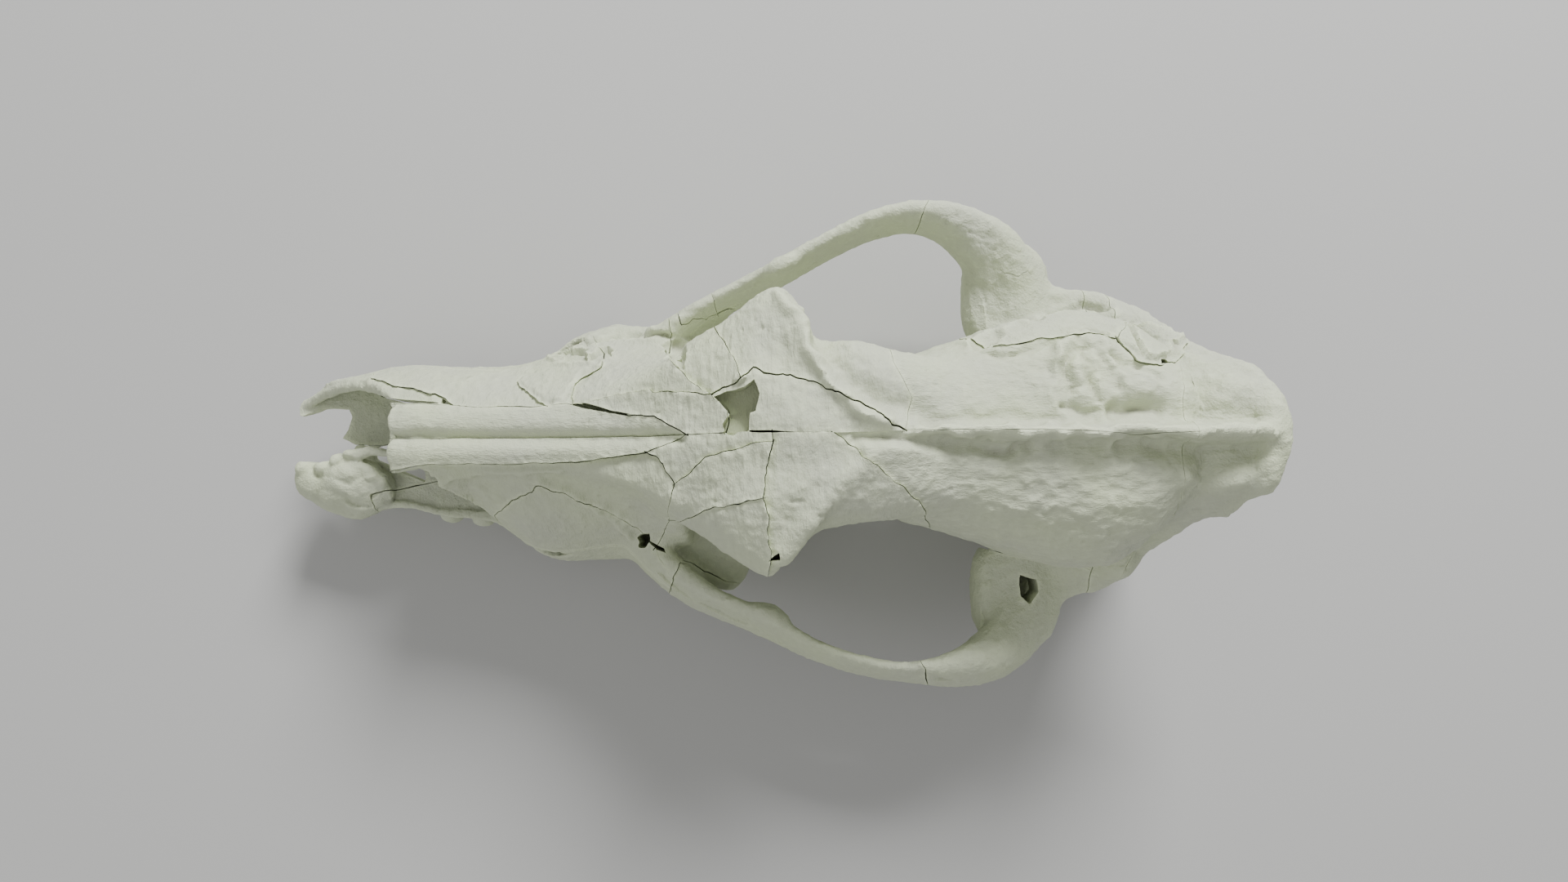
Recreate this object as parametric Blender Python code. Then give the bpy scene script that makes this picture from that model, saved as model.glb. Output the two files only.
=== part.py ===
"""Skull of an adult grey wolf, the cranium without its lower jaw, pieced together from fragments.

The snout points to -X, the animal's right side is +Y and up is +Z. The skull rests on the tips of
its big cheek teeth and on the two ear capsules, at Z = 0, and the origin is the middle of its box
on that level. The tables are in millimetres, and MM turns them into Blender's metres.
"""
import math

import bmesh
import bpy
import numpy as np
from mathutils import Matrix, Vector
from mathutils.bvhtree import BVHTree

MM = 0.001
# Where the middle of the box lies in the tables' coordinates; the finished skull is moved back by this
CENTRE = (0.65, -0.68, 0.16)

# Lengths along the skull, from the middle of its length
SNOUT_FRONT = -127.2
NASAL_TIP = -89.5
CAVITY_BACK = -30.0
PREMAXILLA_BACK = -104.0
PALATE_END = 3.0
BASE_SUTURE = 66.0
TEMPORAL_BACK = 92.0

# Levels above the floor
JAW_CUT = 27.0
BASE_CUT = 35.0
ROOT_TOP = 42.0
NASAL_FLOOR = 22.5
HIGH = 110.0
LOW = -4.0

WALL = 2.6
GAP = 0.34
VOXEL = 1.15
BONE_TRIANGLES = 5400
SOFTENING = 14

# The upper outline seen from the side, forehead step and all: (x, z)
ROOF = ((-127, 46), (-104, 52), (-89, 55.5), (-60, 60), (-40, 64.5), (-25, 70), (-12, 77), (0, 82),
        (12, 85), (25, 86), (45, 85), (70, 86), (95, 86.5), (115, 85.5), (127, 82))
# The rim that bears the teeth and the palate inside it: (x, z)
RIM = ((-127, 20), (-90, 17), (-33, 14.5), (3, 13))
PALATE = ((-127, 21.5), (-95, 19), (-33, 19), (3, 18.5))

# Widths seen from above, (x, distance from the middle), right and left side
FRONTAL_RIGHT = ((-28, 13), (-20, 18), (-11, 24), (-1, 29.8), (5.4, 34.6), (12, 34.8), (14.6, 31.5),
                 (16.8, 24.6), (22, 22.8), (28.7, 22.2), (34.5, 20.4), (41, 19.4), (54, 18))
FRONTAL_LEFT = ((-28, 13), (-20, 18), (-9.5, 24), (0, 30), (5.8, 33.4), (8.8, 33.4), (10.6, 27.2), (15, 25.6),
                (18.4, 22.8), (24.3, 21.4), (31.6, 20.2), (38.3, 19.6), (54, 18))
BRAIN_RIGHT = ((30, 14), (41, 20), (55, 25), (70, 30), (82, 32), (95, 28.5), (104, 22), (111, 14))
BRAIN_LEFT = ((30, 14), (38, 19.4), (48.6, 22.6), (58.8, 26), (72, 30.4), (84, 32.6), (97, 29), (105, 22),
              (111, 14))
BRAIN_TOP = ((30, 81), (45, 81), (60, 80.5), (75, 80.5), (90, 80), (103, 78), (111, 71))
BRAIN_BOTTOM = ((30, 36), (50, 28), (70, 24), (90, 24), (103, 28), (111, 36))
SNOUT_RIGHT = ((-126, 12.6), (-120.6, 15.4), (-115, 18), (-109, 19.2), (-103, 20.8), (-97.6, 22.2),
               (-80, 22.1), (-63, 22.9), (-57, 24.8), (-51.5, 28.6), (-45.7, 32), (-40, 34.2), (-28.5, 33.8),
               (-14, 30))
SNOUT_LEFT = ((-126, 13), (-120.6, 18), (-115, 20.2), (-109, 21.6), (-103, 18.2), (-97, 17.6), (-91, 18.8),
              (-86, 20.2), (-78, 20.8), (-68.8, 22.6), (-63, 26.4), (-57.3, 31.2), (-51.5, 32.8), (-40, 32.4),
              (-28.5, 32), (-14, 31))
SNOUT_EDGE = ((-126, 7), (-90, 8), (-60, 7.6), (-40, 9), (-25, 13), (-14, 18))
BULGE_RIGHT = ((-126, 2.2), (-84, 2.0), (-63, 1.6), (-40, 1.15), (-14, 1.0))
BULGE_LEFT = ((-127, 0.5), (-113, 0.55), (-103, 1.3), (-92, 1.5), (-63, 1.6), (-40, 1.15), (-14, 1.0))
CORE_WIDTH = ((-28, 14), (-12, 14), (0, 12), (15, 11), (30, 13), (45, 17), (60, 20))
TUBER_RIGHT = ((-34, 33), (-20, 33.5), (-10, 35.5), (-3, 34), (3, 27))
TUBER_LEFT = ((-34, 32), (-20, 34.5), (-10, 39.6), (-4, 41), (-1, 39), (3, 29))

# Cheek arches: (x, y, z, half height, half thickness)
ARCH_RIGHT = ((-30, 24.6, 29, 8, 4.6), (-22, 28.8, 31, 9, 3.8), (-12, 35.8, 33, 10, 2.9),
              (-2, 40.9, 35, 9.8, 2.4), (9, 45.9, 37, 9.8, 2.2), (20, 51.9, 38.5, 9.2, 2.3),
              (33, 58.2, 39.5, 9, 2.5), (46, 60.9, 40, 9, 3.1), (56, 58.9, 39.5, 9.4, 4.8),
              (64, 54.2, 38, 9.4, 7.2), (69.6, 48.6, 35.5, 8.6, 8.6), (72.6, 41, 33.5, 7.5, 9.4),
              (74, 28, 33, 7, 10.2))
ARCH_LEFT = ((-30, -26.2, 29, 8, 4.4), (-23, -33, 31, 9, 4.1), (-13, -40.8, 33, 10, 3.3),
             (-3, -45.2, 35, 9.8, 2.5), (8, -50.2, 36.5, 9.4, 2), (20, -55.9, 38, 8.8, 1.7),
             (33, -59.9, 39, 8.4, 1.8), (46, -61.2, 39.5, 8.6, 2.3), (56, -60.2, 38.5, 9.2, 4.2),
             (65.4, -57, 37, 9.2, 6.6), (72.4, -51.4, 34.5, 8.6, 7.6), (76.5, -42, 32.5, 7.5, 8.4),
             (77.4, -28, 32, 7, 9.6))
ARCH_LEAN_RIGHT = 0.09
ARCH_LEAN_LEFT = 0.36

# The ridge from the ear opening up to the back of the head: (x, y, z, radius)
NUCHAL_RIGHT = ((79, 42, 33, 3.6), (88, 39, 34, 3.4), (95.5, 38.6, 36, 3.2), (104, 32.6, 44, 3.2),
                (110.4, 24.2, 54, 3.2), (117, 18, 62, 3.2), (121.5, 14.8, 69, 3.2), (124.2, 9, 75, 3.2),
                (125.6, 0, 79, 3.4))
NUCHAL_LEFT = ((79, -43, 33, 3.6), (88, -38.4, 34, 3.4), (95.5, -37, 36, 3.2), (104, -27.6, 43, 3.0),
               (111, -20.4, 54, 3.0), (118, -17.2, 66, 3.0), (123, -12.5, 75, 3.0), (125.6, 0, 79, 3.4))

# Underside: (x, half width), (x, lowest z), and the throat plates as (x, y, z, half height, half thickness)
BASE_WIDTH = ((3, 12), (30, 12), (50, 14), (66, 15), (80, 10), (112, 11))
BASE_BOTTOM = ((3, 27), (34, 25), (50, 18), (66, 15.5), (95, 15), (112, 15))
PTERYGOID = ((1, 14, 23, 8, 2.4), (12, 13, 22, 9, 2.2), (24, 12, 21, 10, 2.0), (35, 11.5, 21, 9, 2.0),
             (42, 12, 24, 5, 2.4))
# The back of the head from below upwards: (z, x, half length, half breadth)
BACK_WALL = ((18, 100, 9, 20), (30, 101, 9.5, 28), (42, 102, 9.5, 28), (54, 105.5, 9, 24),
             (66, 111.5, 8.5, 19), (76, 118, 7, 12))

# Lost bone, as outlines: the nose opening and the left wall from the side (x, z), the rest from above (x, y)
NOSE_OPENING = ((-140, 22), (-122.5, 23), (-117, 29), (-105, 37), (-93, 48), (NASAL_TIP, 52), (NASAL_TIP, 95),
                (-140, 95))
LOST_WALL = ((-101.5, 24), (-72, 23.5), (-66, 28), (-72, 38), (-80, 47), (-90, 60), (-101.5, 60))
LOST_INCISORS = ((-140, 7.8), (-126, 8.2), (-120, 10.8), (-113, 10.5), (-111.8, 8), (-112.7, 4), (-114.4, 2),
                 (-110.7, 0), (-112, -2), (-118, -5.5), (-123, -4.8), (-140, -4.4))
SLIT_LEFT = ((-106.5, -1), (-101, 0.5), (-97, -3.5), (-91, -7.5), (-91, -10.5), (-96, -8.5), (-102, -5.5),
             (-105.5, -4))
FOREHEAD_HOLE = ((-5.2, 11.5), (-3.6, 6.6), (-4.2, 2.8), (-2, -0.3), (4.2, -0.1), (4.6, 5.2), (5.2, 13.6),
                 (3.6, 15), (-0.2, 14.1), (-2.5, 12.4))
HOLE_FLOOR = 73.0

# Cracks and sutures seen from above, as lines of (x, y); each runs from the upper surface to the cut level
UPPER_SEAMS = {
    "middle": ((-140, 0), (-60, 0), (-12, -0.2), (8, 0.3), (21.8, 0), (38, 0.5), (70, 0.6), (90, -0.5),
               (103.5, 0)),
    "right nasal": ((-100, 9.5), (-77, 9), (-66, 8), (-50, 8), (-43, 8.5), (-36, 6.5), (-27, 5), (-20, 4.5),
                    (-16, 2), (-12, -0.2)),
    "left nasal": ((-100, -9), (-90, -8.2), (-80, -6.6), (-65, -6.5), (-41, -6.2), (-31, -5), (-22, -4.1),
                   (-16, -1.9), (-12, -0.2)),
    "right premaxilla": ((PREMAXILLA_BACK, 40), (PREMAXILLA_BACK, 22), (-99.4, 17), (-91.9, 14.7),
                         (-85.3, 13.5), (-78.5, 11.5), (-74, 8.8)),
    "right maxilla, front crack": ((-59, 40), (-59, 21), (-59.8, 15.6), (-57, 13.4), (-52.5, 10.6),
                                   (-48.5, 8.05)),
    "right maxilla, rear crack": ((-46, 50), (-42, 30), (-38, 24), (-36.5, 19), (-39.5, 16.6), (-42, 13.8),
                                  (-42.5, 10.3), (-41.5, 8.2)),
    "right forehead strip": ((-41.5, 8.2), (-31, 9.9), (-24, 11), (-17.5, 10), (-10.8, 9.2), (-6.2, 9.1)),
    "right maxilla, back edge": ((-22, 60), (-20, 31), (-20.5, 23.5), (-18, 20), (-14.2, 15.3), (-10.6, 12.4),
                                 (-6.2, 9.1), (-2.8, 5.2), (-3, 0.1)),
    "right tear bone": ((-9, 42), (-5.5, 25.5), (-0.5, 16.5), (0.8, 12.5), (-2, 10.5), (-6.2, 9.1)),
    "right forehead plate": ((0.8, 12.5), (3.7, 15), (7, 13.6), (12.2, 13.4), (16, 11.8), (22, 9.5), (31, 5),
                             (38, 0.5)),
    "right crown": ((38, 0.5), (40, 8), (36, 16), (33, 40)),
    "right temple": ((48, 40), (53, 26), (60, 21), (70, 22.5), (82, 24), (90, 23), (97, 31), (100, 60)),
    "right nape": ((90, 23), (93, 17), (99, 16), (106, 18), (112, 24), (119, 40)),
    "left maxilla": ((-74, -40), (-67, -19.5), (-51, -11.5), (-45.5, -14.2), (-36.5, -17.9), (-30.5, -21),
                     (-25.5, -25), (-20, -34), (-20, -60)),
    "left maxilla, back edge": ((-22, -4.1), (-18, -7), (-15, -11.6), (-16.5, -16.4), (-17.8, -20.5),
                                (-20.5, -24), (-24, -28.5)),
    "left forehead strip": ((-15, -11.6), (-9.3, -8), (-7.6, -5.7), (-1.5, -4.2), (4, -2.6), (8.3, -2.2),
                            (8, 0.3)),
    "left brow, front crack": ((-17.8, -20.5), (-14.5, -20.6), (-8.2, -18.2), (-2.5, -16.5), (5.9, -15)),
    "left brow, back crack": ((8.3, -2.2), (7.3, -6.2), (6.3, -10.2), (5.9, -15), (6.9, -19.5), (6.9, -23.6),
                              (7.8, -27.5), (6, -40)),
    "left crown": ((21.8, 0), (27.8, -5), (34.4, -9.6), (41.5, -15.6), (47, -22), (53, -40)),
    "nape": ((106, 18), (103, 8), (103.5, 0), (103, -8), (105, -17), (104, -24), (99, -34), (97, -60)),
}
# The front suture seen from below, across both sides
PALATE_SUTURE = ((PREMAXILLA_BACK, -60), (PREMAXILLA_BACK, -14), (-87, -10), (-87, 10), (PREMAXILLA_BACK, 14),
                 (PREMAXILLA_BACK, 60))
# Sutures seen from below, right side: the inner edge of the cheek root, and the oval round the ear capsule
ROOT_INNER = ((54, 26), (64, 28.4), (72, 30.4), (84, 30.4), (TEMPORAL_BACK, 29))
BULLA_CENTRE = (77.5, 19)
BULLA_RADII = (16.4, 12.0)
JUGAL_FRONT_RIGHT = ((-24, 48), (-17, 31.5), (-5, 36.5), (PALATE_END, 38.4), (12, 40.5))
JUGAL_FRONT_LEFT = ((-24, -48), (-17, -32), (-5, -38), (PALATE_END, -40), (12, -42.5))

# A point on each bone or fragment
BONES = {
    "nasal_right": (-60, 4, 59), "nasal_left": (-60, -3.5, 59),
    "premaxilla_right": (-95, 13, 44), "premaxilla_left": (-112, -20, 30),
    "maxilla_right_front": (-75, 16, 48), "maxilla_right_middle": (-51, 15, 54),
    "maxilla_right_rear": (-28, 18, 58),
    "maxilla_left_upper": (-45, -9.5, 60), "maxilla_left_lower": (-45, -25, 45),
    "frontal_right_strip": (-25, 7.5, 67), "lacrimal_right": (-8, 17, 72),
    "frontal_right": (10, 26, 79), "frontal_right_plate": (15, 6, 84),
    "frontal_left_strip": (0, -2.5, 81), "frontal_left_front": (-5, -12, 77),
    "supraorbital_left": (-2, -24, 73), "frontal_left": (18, -10, 84),
    "parietal_right": (70, 12, 78), "parietal_left": (75, -18, 76),
    "temporal_right": (72, 29, 60), "nuchal_right": (100, 26, 45), "occipital": (118, 0, 72),
    "upper_jaw_right": (-50, 22, 20), "upper_jaw_left": (-50, -22, 20),
    "sphenoid": (40, 0, 25), "bulla_right": (78, 19, 6), "bulla_left": (78, -19, 6),
    "squamosal_right": (74, 42, 31), "squamosal_left": (74, -42, 31),
    "jugal_right": (20, 53, 38), "jugal_left": (20, -55, 38), "occipital_base": (108, 0, 20),
}

# Cheek teeth: name, x from and to, breadth, crown height and number of cusps
CHEEK_TEETH = (("second premolar", -77, -66, 5.0, 7.0, 1), ("third premolar", -61, -46.5, 5.8, 8.0, 1),
               ("carnassial", -43, -18.5, 9.5, 16.2, 2), ("first molar", -17.5, -5, 15.0, 8.5, 2),
               ("second molar", -4.3, 2.5, 10.0, 6.5, 1))

BONE = (0.66, 0.68, 0.59)


def clear_scene():
    """Remove whatever the start-up scene holds."""
    for obj in list(bpy.data.objects):
        bpy.data.objects.remove(obj, do_unlink=True)


def along(table, x, column=1):
    """A value at x, on a smooth curve through a table's points."""
    xs = np.array([row[0] for row in table], float)
    ys = np.array([row[column] for row in table], float)
    x = min(max(x, xs[0]), xs[-1])
    slopes = np.gradient(ys, xs)
    i = min(int(np.searchsorted(xs, x, side="right")) - 1, len(xs) - 2)
    step = xs[i + 1] - xs[i]
    t = (x - xs[i]) / step
    start = (2 * t ** 3 - 3 * t ** 2 + 1) * ys[i] + (t ** 3 - 2 * t ** 2 + t) * step * slopes[i]
    end = (3 * t ** 2 - 2 * t ** 3) * ys[i + 1] + (t ** 3 - t ** 2) * step * slopes[i + 1]
    return start + end


def roof(x):
    return along(ROOF, x)


def solid(name, rings):
    """A closed mesh skinned over rings of points in millimetres, with both ends filled."""
    mesh = bpy.data.meshes.new(name)
    bm = bmesh.new()
    loops = [[bm.verts.new(Vector(p) * MM) for p in ring] for ring in rings]
    count = len(loops[0])
    for low, high in zip(loops, loops[1:]):
        for i in range(count):
            j = (i + 1) % count
            bm.faces.new((low[i], low[j], high[j], high[i]))
    bm.faces.new(loops[0])
    bm.faces.new(loops[-1])
    bmesh.ops.triangulate(bm, faces=[f for f in bm.faces if len(f.verts) > 4])
    bmesh.ops.recalc_face_normals(bm, faces=bm.faces)
    bm.to_mesh(mesh)
    bm.free()
    obj = bpy.data.objects.new(name, mesh)
    bpy.context.collection.objects.link(obj)
    return obj


def oval(x, right, left, bottom, top, power=2.0, count=28):
    """One upright ring at x, rounder or boxier with its power."""
    middle = (top + bottom) / 2
    half = (top - bottom) / 2
    ring = []
    for i in range(count):
        angle = 2 * math.pi * i / count
        across = math.copysign(abs(math.cos(angle)) ** (2 / power), math.cos(angle))
        upward = math.copysign(abs(math.sin(angle)) ** (2 / power), math.sin(angle))
        ring.append((x, across * (right if across > 0 else left), middle + half * upward))
    return ring


def steps(start, end, spacing=3.0):
    count = max(2, round(abs(end - start) / spacing))
    return [start + (end - start) * i / count for i in range(count + 1)]


def bar(name, stations, lean=0.0, count=20):
    """A flattened bar along a path, its boxy section upright and square to the path seen from above."""
    keys = [(i,) + tuple(s) for i, s in enumerate(stations)]
    last = len(stations) - 1
    rings = []
    for t in steps(0, last, 0.34):
        here = np.array([along(keys, t, c) for c in (1, 2, 3)])
        ahead = np.array([along(keys, min(t + 0.05, last), c) for c in (1, 2, 3)])
        behind = np.array([along(keys, max(t - 0.05, 0), c) for c in (1, 2, 3)])
        run = (ahead - behind) / np.linalg.norm(ahead - behind)
        side = np.cross((0, 0, 1), run)
        side /= np.linalg.norm(side)
        up = np.cross(run, side) + lean * side
        up /= np.linalg.norm(up)
        tall, thick = along(keys, t, 4), along(keys, t, 5)
        section = oval(0, thick, thick, -tall, tall, 2.6, count)
        rings.append([tuple(here + side * y + up * z) for _, y, z in section])
    return solid(name, rings)


def rod(name, stations, count=12):
    """A round tapering rod through (x, y, z, radius) stations."""
    points = [np.array(s[:3], float) for s in stations]
    rings = []
    for i, s in enumerate(stations):
        run = points[min(i + 1, len(points) - 1)] - points[max(i - 1, 0)]
        run /= np.linalg.norm(run)
        guide = np.array((0, 0, 1.0)) if abs(run[2]) < 0.8 else np.array((1.0, 0, 0))
        side = np.cross(guide, run)
        side /= np.linalg.norm(side)
        up = np.cross(run, side)
        rings.append([tuple(points[i] + s[3] * (side * math.cos(a) + up * math.sin(a)))
                      for a in (2 * math.pi * k / count for k in range(count))])
    return solid(name, rings)


def ball(name, centre, radii, tilt=0.0):
    """A stretched ball, its long axis turned about Z by tilt degrees."""
    mesh = bpy.data.meshes.new(name)
    bm = bmesh.new()
    bmesh.ops.create_icosphere(bm, subdivisions=3, radius=1.0)
    turn = math.radians(tilt)
    for v in bm.verts:
        x, y, z = (v.co[k] * radii[k] for k in range(3))
        v.co = Vector((centre[0] + x * math.cos(turn) - y * math.sin(turn),
                       centre[1] + x * math.sin(turn) + y * math.cos(turn), centre[2] + z)) * MM
    bm.to_mesh(mesh)
    bm.free()
    obj = bpy.data.objects.new(name, mesh)
    bpy.context.collection.objects.link(obj)
    return obj


def half_snout(x, widths, bulges, inset, hollow):
    """Points (y, z) up one side of the snout, from the palate's middle to the edge of the nasal bones."""
    wide = along(widths, x) - inset
    edge = along(SNOUT_EDGE, x) - inset * 0.6
    bulge = along(bulges, x)
    palate = NASAL_FLOOR if hollow else along(PALATE, x)
    rim = NASAL_FLOOR if hollow else along(RIM, x)
    low = NASAL_FLOOR + 1.5 if hollow else along(PALATE, x) + 3
    shoulder = roof(x) - inset - 1.6
    half = [(0.0, palate), (wide * 0.5, palate), (wide * 0.7, palate + (rim - palate) * 0.35),
            (wide * 0.8, rim), (wide * 0.97, rim), (wide, low)]
    for i in range(1, 10):
        s = i / 9
        half.append((edge + (wide - edge) * (1 - s ** bulge), low + (shoulder - low) * s))
    half.append((edge * 0.5, roof(x) - inset - 0.4))
    return half


def snout_ring(x, inset=0.0, hollow=False):
    """The snout's section: flat palate, tooth-bearing rims, bulging walls and the nasal bones on top."""
    right = [(x, y, z) for y, z in half_snout(x, SNOUT_RIGHT, BULGE_RIGHT, inset, hollow)]
    left = [(x, -y, z) for y, z in half_snout(x, SNOUT_LEFT, BULGE_LEFT, inset, hollow)]
    return right + [(x, 0.0, roof(x) - inset)] + left[:0:-1]


def level_oval(z, x, length, breadth, power=2.2, count=32):
    """One level ring at height z, its middle at x."""
    return [(x + b, a, z) for _, a, b in oval(0, breadth, breadth, -length, length, power, count)]


def head_forms():
    """Snout, forehead, braincase, crest and the solid core between the eye sockets."""
    def frontal_top(x):
        return roof(x) - max(0.0, x - 36) * 0.35

    def core_top(x):
        return min(76.0, roof(x) - 7)

    forms = [solid("snout", [snout_ring(x) for x in steps(SNOUT_FRONT, -14)])]
    forms.append(solid("frontal", [oval(x, along(FRONTAL_RIGHT, x), along(FRONTAL_LEFT, x), roof(x) - 25,
                                        frontal_top(x), 2.2, 48) for x in steps(-28, 54)]))
    forms.append(solid("brain", [oval(x, along(BRAIN_RIGHT, x), along(BRAIN_LEFT, x), along(BRAIN_BOTTOM, x),
                                      along(BRAIN_TOP, x), 2.2, 48) for x in steps(30, 111)]))
    forms.append(solid("crest", [oval(x, 1.9, 1.9, roof(x) - 15, roof(x), 2.6, 16) for x in steps(34, 124)]))
    forms.append(solid("core", [oval(x, along(CORE_WIDTH, x), along(CORE_WIDTH, x), 24, core_top(x), 2.6, 32)
                                for x in steps(-28, 60)]))
    forms.append(solid("tuber", [oval(x, along(TUBER_RIGHT, x), along(TUBER_LEFT, x), along(RIM, x), 33, 3.2)
                                 for x in steps(-34, 3)]))
    return forms


def base_forms():
    """The underside and the back of the head."""
    def base_ring(x):
        wide = along(BASE_WIDTH, x)
        return oval(x, wide, wide, along(BASE_BOTTOM, x), 38, 3.0, 24)

    forms = [solid("base", [base_ring(x) for x in steps(3, 112)])]
    forms.append(solid("back wall", [level_oval(*row) for row in BACK_WALL]))
    for side, nuchal in ((1, NUCHAL_RIGHT), (-1, NUCHAL_LEFT)):
        forms.append(bar("pterygoid", [(x, y * side, z, tall, thick) for x, y, z, tall, thick in PTERYGOID]))
        forms.append(ball("bulla", (78, 19 * side, 12.4), (14.5, 10.5, 12.4), -14 * side))
        forms.append(ball("bulla root", (78, 20 * side, 23), (13, 10, 9)))
        middle = 72 if side == 1 else 74
        levels = [level_oval(z, middle, half, 14.5, 3)
                  for z, half in ((23, 9.5), (26, 11.6), (33, 12), (37, 10))]
        forms.append(solid("joint shelf", [[(x, y + 40.5 * side, z) for x, y, z in ring] for ring in levels]))
        forms.append(ball("behind the joint", (78, 37 * side, 22), (3.4, 9, 9)))
        forms.append(ball("ear ridge", (90, 31 * side, 32), (11, 8, 10)))
        forms.append(ball("behind the ear", (98, 31 * side, 40), (7, 6, 8)))
        forms.append(ball("condyle", (109, 11 * side, 21.5), (8.5, 6.5, 9.5), 30 * side))
        forms.append(rod("jugular process", ((98, 25 * side, 32, 6.5), (98, 26 * side, 22, 5.2),
                                             (98.5, 26.5 * side, 12, 3.8), (98.5, 26.5 * side, 3, 2.4))))
        forms.append(rod("nuchal ridge", nuchal))
        forms.append(rod("brow line", ((10, 29 * side, 76.5, 2.6), (16, 20 * side, 81.2, 2.4),
                                       (26, 9 * side, 83.6, 2.2), (38, 2 * side, 84, 2.0))))
    return forms


def masses():
    """All the forms that fuse into one skull."""
    arches = [bar("arch right", ARCH_RIGHT, ARCH_LEAN_RIGHT), bar("arch left", ARCH_LEFT, ARCH_LEAN_LEFT)]
    arches.append(ball("cheek bone step, right", (10, 46.5, 45), (6, 2.6, 4.5), 25))
    arches.append(ball("cheek bone step, left", (7, -45.5, 43.5), (6, 2.8, 4.5), -25))
    return head_forms() + base_forms() + arches


def cavities():
    """The forms cut out of the skull: nasal passage, openings at nose, throat, brain and ears, lost bone."""
    def prism(name, outline, axis, low, high):
        points = {"y": lambda a, b, c: (a, c, b), "z": lambda a, b, c: (a, b, c)}[axis]
        return solid(name, [[points(a, b, c) for a, b in outline] for c in (low, high)])

    cuts = [solid("nasal passage", [snout_ring(x, WALL, True) for x in steps(-132, CAVITY_BACK)])]
    cuts.append(prism("nose opening", NOSE_OPENING, "y", -60, 60))
    cuts.append(prism("lost wall", LOST_WALL, "y", -60, -9.4))
    cuts.append(prism("lost incisor bone", LOST_INCISORS, "z", LOW, HIGH))
    cuts.append(solid("brain opening", [oval(x, 9, 8.5, 24, 39, 2.2, 16) for x in steps(96, 135)]))
    cuts.append(prism("forehead hole", FOREHEAD_HOLE, "z", HOLE_FLOOR, HIGH))
    cuts.append(prism("palatal slit", SLIT_LEFT, "z", LOW, 32))
    for side in (1, -1):
        cuts.append(rod("ear opening", ((80, 29 * side, 24, 3.2), (81, 46 * side, 25, 4.0))))
        cuts.append(rod("face opening", ((-34, 24 * side, 31, 2.8), (-46, 26.5 * side, 28.5, 2.8),
                                         (-62, 31.5 * side, 26.5, 3.0))))
    return cuts


def cut_level(x):
    """Height of the break between the face and brain bones above and the jaw and base bones below."""
    return BASE_CUT if x > PALATE_END else JAW_CUT + (x + 127) * (BASE_CUT - JAW_CUT) / 130


def wall(line, low=None, high=HIGH):
    """A thin upright sheet along a plan line: the gap that a crack or a suture leaves."""
    points = [np.array(p, float) for p in line]
    rings = []
    for i, p in enumerate(points):
        before = points[max(i - 1, 0)]
        after = points[min(i + 1, len(points) - 1)]
        one = (p - before) / max(np.linalg.norm(p - before), 1e-9)
        two = (after - p) / max(np.linalg.norm(after - p), 1e-9)
        run = one + two
        run /= np.linalg.norm(run)
        stretch = 1 / max(float(np.dot(run, two if i < len(points) - 1 else one)), 0.5)
        side = np.array((-run[1], run[0])) * GAP / 2 * stretch
        floor = cut_level(p[0]) if low is None else low
        rings.append([(*(p + side), floor), (*(p + side), high), (*(p - side), high), (*(p - side), floor)])
    return solid("wall", rings)


def level_sheet(stations):
    """A thin, nearly level sheet: (x, z, right edge, left edge) stations."""
    return solid("sheet", [[(x, right, z - GAP / 2), (x, right, z + GAP / 2), (x, -left, z + GAP / 2),
                            (x, -left, z - GAP / 2)] for x, z, right, left in stations])


def gaps():
    """Every thin gap that parts the skull into its bones and fragments."""
    sheets = [wall(line) for line in UPPER_SEAMS.values()]
    edges = [(PREMAXILLA_BACK, 60, 60), (-24, 48, 48), (-17, 31.5, 32), (-5, 36.5, 38)]
    edges += [(PALATE_END, 38.4, 40), (8, 28, 28)]
    edges += [(x, y, y) for x, y in ROOT_INNER]
    edges += [(TEMPORAL_BACK + 0.1, 60, 60), (140, 60, 60)]
    sheets.append(level_sheet([(x, cut_level(x), right, left) for x, right, left in edges]))
    sheets.append(wall(((-140, 0), (PALATE_END, 0)), LOW, JAW_CUT + 12))
    sheets.append(wall(PALATE_SUTURE, LOW, cut_level(PREMAXILLA_BACK)))
    sheets.append(wall(((PALATE_END, -40), (PALATE_END, 38.4)), LOW, BASE_CUT))
    sheets.append(wall(((BASE_SUTURE, -11.5), (BASE_SUTURE, 11.5)), LOW, BASE_CUT))
    for side in (1, -1):
        front = JUGAL_FRONT_RIGHT if side == 1 else JUGAL_FRONT_LEFT
        sheets.append(wall(front, LOW, 60))
        sheets.append(wall(((43, 48 * side), (52, 74 * side)), LOW, 60))
        root = [(x, y * side) for x, y in ROOT_INNER]
        sheets.append(wall(root + [(TEMPORAL_BACK, 56 * side)], LOW, ROOT_TOP))
        sheets.append(level_sheet([(x, ROOT_TOP, 46, -y) if side == 1 else (x, ROOT_TOP, -y, 46)
                                   for x, y in ROOT_INNER]))
        for start in (-10, 170):
            turns = [math.radians(start + 200 * i / 12) for i in range(13)]
            sheets.append(wall([(BULLA_CENTRE[0] + BULLA_RADII[0] * math.cos(a),
                                 (BULLA_CENTRE[1] + BULLA_RADII[1] * math.sin(a)) * side) for a in turns],
                               LOW, BASE_CUT))
    return sheets


def evaluated(obj):
    """Swap an object's mesh for what its modifiers make of it."""
    graph = bpy.context.evaluated_depsgraph_get()
    mesh = bpy.data.meshes.new_from_object(obj.evaluated_get(graph))
    obj.modifiers.clear()
    obj.data = mesh
    return obj


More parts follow.
